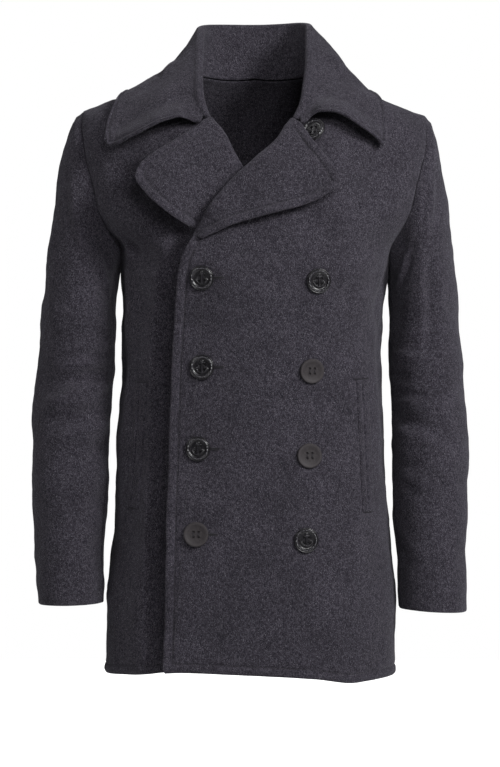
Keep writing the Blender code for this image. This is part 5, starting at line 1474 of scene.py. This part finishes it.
def add_button(name, x, z, kind):
    """Moulded button on the over-front, with its thread."""
    spread = BUTTON_RADIUS * BUTTON_FOOT * np.array([[0, 0], [1, 0], [-1, 0], [0, 1], [0, -1]])
    hits = finders["front_over"](x + spread[:, 0], z + spread[:, 1])
    facing = unit(np.cross(hits[1] - hits[2], hits[3] - hits[4]))
    lean = COLLAR_BUTTON_LEAN if name == "button_collar" else 0.0
    facing = unit(facing * np.sign(-facing[1]) + [lean, 0.0, 0.0])
    seat = np.max((hits - hits[0]) @ facing)
    place = np.array([x, hits[0][1], z]) + facing * (seat + BUTTON_SEAT)
    up = unit(np.array([0.0, 0.0, 1.0]) - facing * facing[2])
    right = np.cross(up, facing)
    right = right * np.sign(right[0])
    even = np.linspace(0.0, 1.0, BUTTON_RINGS + 1)[1:]
    share = RING_SHARES[0] * np.sin(0.5 * np.pi * even) + RING_SHARES[1] * even
    turn = np.linspace(0.0, 2.0 * np.pi, BUTTON_TURNS, endpoint=False)
    r, a = np.meshgrid(share, turn, indexing="ij")
    flat = np.stack([r * np.cos(a), r * np.sin(a), button_height(r, a, kind)], -1)
    under = np.stack([BUTTON_FOOT * np.cos(turn), BUTTON_FOOT * np.sin(turn), np.zeros_like(turn)], -1)
    local = np.concatenate([[[0.0, 0.0, button_height(np.array(0.0), np.array(0.0), kind)]],
                            flat.reshape(-1, 3), under, [[0.0, 0.0, 0.0]]]) * BUTTON_RADIUS
    rings = 1 + np.arange((BUTTON_RINGS + 1) * BUTTON_TURNS).reshape(-1, BUTTON_TURNS)
    after = np.roll(rings, -1, axis=1)
    faces = [part.reshape(-1, part.shape[-1]).tolist() for part in (
        np.stack([0 * rings[0], rings[0], after[0]], -1),
        np.stack([rings[:-1], rings[1:], after[1:], after[:-1]], -1),
        np.stack([rings[-1], np.full(BUTTON_TURNS, rings.max() + 1), after[-1]], -1))]
    mesh = add_piece(name, place + local @ np.array([right, up, facing]), sum(faces, []), kind,
                     "button_plain" if kind == "plain" else "button_patterned")
    mesh.set_sharp_from_angle(angle=BUTTON_SHARP)
    # relief height, by which the material colours the raised parts lighter: rubbed wear and a painted glint
    wear_and_glint = mesh.attributes.new("relief", "FLOAT", "POINT")
    wear_and_glint.data.foreach_set("value", (local[:, 2] / BUTTON_RADIUS).astype(np.float32))
    base = place + facing * (BUTTON_SECTION[kind]["height"][0] * BUTTON_RADIUS + SEWING_LIFT)
    threads = [(*(base + (right * (across + shift) + up * end) * BUTTON_RADIUS for end in HOLES), facing)
               for across in HOLES for shift in SEWING_SPREAD]
    add_bars("sewing_" + name, threads, SEWING_RADIUS)


# ---------------------------------------------------------------- materials
def new_material(name):
    """Material, its shader and the object's own coordinates."""
    material = bpy.data.materials.new(name)
    material.use_nodes = True
    tree = material.node_tree
    return material, tree.nodes["Principled BSDF"], tree.nodes.new("ShaderNodeTexCoord").outputs["Object"]


def fill(node, values):
    """Sets or links a node's inputs."""
    for name, value in values.items():
        if isinstance(value, bpy.types.NodeSocket):
            node.id_data.links.new(value, node.inputs[name])
        else:
            node.inputs[name].default_value = value


def after_socket(socket, kind, output, values, **settings):
    """Output of a new node in the tree of a socket."""
    node = socket.id_data.nodes.new("ShaderNode" + kind)
    for name, value in settings.items():
        setattr(node, name, value)
    fill(node, values)
    return node.outputs[output]


def noise(place, scale, detail, roughness=0.5):
    return after_socket(place, "TexNoise", "Fac", {"Scale": scale, "Detail": detail, "Roughness": roughness,
                                                   "Vector": place})


def stretched(place, turn, scale):
    """Coordinates turned and drawn out, for fibres that lie one way."""
    return after_socket(place, "Mapping", "Vector", {"Rotation": turn, "Scale": scale, "Vector": place})


def ramp(value, *stops):
    """Colours, or greys, by a value."""
    node = value.id_data.nodes.new("ShaderNodeValToRGB")
    for element, (place, color) in zip(node.color_ramp.elements, stops[:2]):
        element.position, element.color = place, full(color)
    for place, color in stops[2:]:
        node.color_ramp.elements.new(place).color = full(color)
    fill(node, {"Fac": value})
    return node.outputs["Color"]


def full(color):
    return (*(color if isinstance(color, tuple) else (color,) * 3), 1.0)


def mixed(kind, share, first, second):
    return after_socket(first, "Mix", "Result", {"Factor": share, "A": first, "B": second},
                        data_type="RGBA", blend_type=kind)


def scaled_sum(first, second, share):
    """first + share * second."""
    return after_socket(first, "Math", "Value", {0: second, 1: share, 2: first}, operation="MULTIPLY_ADD")


def ranged(value, values):
    return after_socket(value, "MapRange", "Result", {**values, "Value": value})


def bumped(height, distance, strength):
    return after_socket(height, "Bump", "Normal", {"Distance": distance, "Strength": strength,
                                                   "Height": height})


HEATHER_DARK = (0.0070, 0.0060, 0.0092)
HEATHER_MID = (0.0180, 0.0156, 0.0216)
HEATHER_LIGHT = (0.0440, 0.0404, 0.0510)
FIBRE_LIGHT = (0.150, 0.144, 0.168)
SHEEN_TINT = (0.72, 0.70, 0.80)


def heather_wool(name):
    """Charcoal heather melton: mixed dark and light fibres, felted, with a short nap."""
    material, shader, place = new_material(name)
    lying = stretched(place, (0.3, 0.2, 0.5), (1.0, 1.0, 0.42))
    crossed = stretched(place, (0.2, 1.2, 0.9), (1.0, 0.45, 1.0))
    fleck = noise(lying, 760.0, 3.0, 0.62)
    other = noise(crossed, 900.0, 3.0, 0.62)
    coarse = noise(place, 230.0, 2.0)
    blend = scaled_sum(scaled_sum(fleck, other, 1.0), coarse, 0.55)
    spread = ranged(blend, {"From Min": 0.98, "From Max": 1.56})
    color = ramp(spread, (0.10, HEATHER_DARK), (0.48, HEATHER_MID), (0.92, HEATHER_LIGHT))
    for vector, scale in ((lying, 1500.0), (crossed, 1300.0)):
        fibre = noise(vector, scale, 1.0)
        color = mixed("MIX", ramp(fibre, (0.665, 0.0), (0.735, 1.0)), color, full(FIBRE_LIGHT))
    cloud = noise(place, 26.0, 3.0, 0.55)
    color = mixed("MULTIPLY", 1.0, color, ramp(cloud, (0.30, 0.86), (0.70, 1.12)))
    dull = ranged(coarse, {"To Min": 0.86, "To Max": 1.0})
    nap = scaled_sum(scaled_sum(fleck, other, 1.0), coarse, 1.6)
    fill(shader, {"Base Color": color, "Roughness": dull, "Normal": bumped(nap, 0.0006, 0.75),
                  "Specular IOR Level": 0.12, "Sheen Weight": 0.10, "Sheen Roughness": 0.55,
                  "Sheen Tint": full(SHEEN_TINT)})
    return material


def sewing_thread(name, color, light):
    material, shader, place = new_material(name)
    twist = noise(place, 2400.0, 2.0)
    fill(shader, {"Base Color": ramp(twist, (0.3, color), (0.75, light)),
                  "Normal": bumped(twist, 0.0002, 0.5), "Roughness": 0.62, "Specular IOR Level": 0.3})
    return material


def moulded(name, dark, light, wear_and_glint, gloss, specular, wear_and_glint_from):
    """Button plastic: mottled, with its raised relief coloured lighter, partly as rubbed wear and partly as a
    painted glint where light would catch the crests.
    """
    material, shader, place = new_material(name)
    mottle = noise(place, 420.0, 4.0, 0.6)
    color = ramp(mottle, (0.32, dark), (0.70, light))
    high = after_socket(place, "Attribute", "Fac", {}, attribute_name="relief")
    # raised parts get the lighter colour: rubbed wear, and a painted glint on the crests
    raised = ramp(high, (wear_and_glint_from[0], 0.0), (wear_and_glint_from[1], 1.0))
    wear_and_glint_share = mixed("MULTIPLY", 1.0, raised, ramp(noise(place, 900.0, 2.0), (0.35, 0.25), (0.65, 1.0)))
    color = mixed("MIX", wear_and_glint_share, color, full(wear_and_glint))
    rough = ranged(mottle, {"To Min": gloss, "To Max": gloss + 0.22})
    fill(shader, {"Base Color": color, "Roughness": rough, "Normal": bumped(mottle, 0.0001, 0.35),
                  "Specular IOR Level": specular})
    return material


looks = {
    "body": heather_wool("heather_melton"),
    "trim": heather_wool("heather_melton_trim"),
    "thread": sewing_thread("thread_charcoal", (0.010, 0.009, 0.012), (0.030, 0.028, 0.034)),
    # near-black: painted shade inside the buttonhole's slit
    "slit_shade": sewing_thread("buttonhole_slit_shade", (0.004, 0.004, 0.005), (0.010, 0.009, 0.011)),
    # the roped button's lighter colour on its raised relief is wear and a painted glint on the rope's crests
    # and the anchor
    "roped": moulded("button_moulded", (0.0035, 0.003, 0.0042), (0.008, 0.0072, 0.0094),
                     (0.055, 0.053, 0.062), 0.18, 0.48, (0.200, 0.245)),
    "plain": moulded("button_matte", (0.019, 0.0160, 0.0175), (0.031, 0.0270, 0.0290),
                     (0.040, 0.0355, 0.0380), 0.50, 0.20, (0.15, 0.24)),
}


# ---------------------------------------------------------------- studio
CAMERA_DISTANCE = 3.2
CAMERA_HEIGHT = -0.390
SENSOR_WIDTH = 36.0
FRAME_HEIGHT = 767 * 0.00133   # of the view at the shoulder line
FLOOR_HEIGHT = -1.45
FLOOR_REACH = 6.0
WORLD_LIGHT = 0.06
# name, place, target, size, power
LIGHTS = (
    ("key", (1.65, -1.60, 0.85), (0.0, 0.0, -0.40), (0.6, 0.8), 75.0),
    ("fill", (-2.6, -0.7, 1.6), (0.0, 0.0, -0.3), (1.4, 1.4), 31.0),
    ("front", (0.7, -3.3, 1.1), (0.0, 0.0, -0.4), (1.0, 1.0), 46.0),
    ("floor_light", (0.0, 5.2, -0.85), (0.0, 5.2, FLOOR_HEIGHT), (12.0, 4.4), 300.0),
)


def placed(name, data, place, target=None):
    """New object in the scene, aimed at a target."""
    thing = bpy.data.objects.new(name, data)
    thing.location = place
    bpy.context.scene.collection.objects.link(thing)
    if target:
        thing.rotation_euler = (Vector(target) - thing.location).to_track_quat("-Z", "Y").to_euler()
    return thing


def make_studio():
    scene = bpy.context.scene
    scene.view_settings.view_transform = "Standard"
    data = bpy.data.cameras.new("camera")
    data.sensor_width = SENSOR_WIDTH
    data.lens = SENSOR_WIDTH * CAMERA_DISTANCE / FRAME_HEIGHT
    scene.camera = placed("camera", data, (0.0, -CAMERA_DISTANCE, CAMERA_HEIGHT), (0.0, 0.0, CAMERA_HEIGHT))
    scene.world = bpy.data.worlds.new("studio")
    scene.world.use_nodes = True
    nodes = scene.world.node_tree.nodes
    nodes.clear()
    seen, lighting = (nodes.new("ShaderNodeBackground") for _ in range(2))
    switch, path = nodes.new("ShaderNodeMixShader"), nodes.new("ShaderNodeLightPath")
    for background, strength in ((seen, 1.0), (lighting, WORLD_LIGHT)):
        fill(background, {"Color": (1.0, 1.0, 1.0, 1.0), "Strength": strength})
    fill(switch, {"Fac": path.outputs["Is Camera Ray"], 1: lighting.outputs[0], 2: seen.outputs[0]})
    fill(nodes.new("ShaderNodeOutputWorld"), {"Surface": switch.outputs[0]})
    for name, place, target, size, power in LIGHTS:
        data = bpy.data.lights.new(name, "AREA")
        data.shape = "RECTANGLE"
        data.size, data.size_y = size
        data.energy = power
        placed(name, data, place, target)
    mesh = bpy.data.meshes.new("floor")
    mesh.from_pydata([(x * FLOOR_REACH, y * FLOOR_REACH, 0) for x, y in ((-1, -1), (1, -1), (1, 1), (-1, 1))],
                     [], [(0, 1, 2, 3)])
    pale, shader, place = new_material("floor_pale")
    fill(shader, {"Base Color": ramp(noise(place, 3.0, 2.0), (0.2, 0.80), (0.8, 0.84)), "Roughness": 0.9})
    mesh.materials.append(pale)
    placed("floor", mesh, (0.0, 0.0, FLOOR_HEIGHT))


# ---------------------------------------------------------------- the coat
make_studio()
left, right = armhole_rims(1), armhole_rims(-1)
add_front("front_over", True, left[0])
add_front("front_under", False, right[0])
add_back(left[0], right[0])
add_sleeve(1, *left)
add_sleeve(-1, *right)
add_lapel("lapel_over", True)
add_lapel("lapel_under", False)
add_collar()

finders = {name: seen_from_front(name) for name in ("front_over", "front_under")}
for side, *ends in zip(*WELTS.values()):
    add_welt(side, np.array(ends[:2]), np.array(ends[2:]))
for name, x, z, kind in BUTTONS:
    add_button(name, x, z, kind)
    if name.endswith("_right"):
        add_buttonhole(name, x, z)
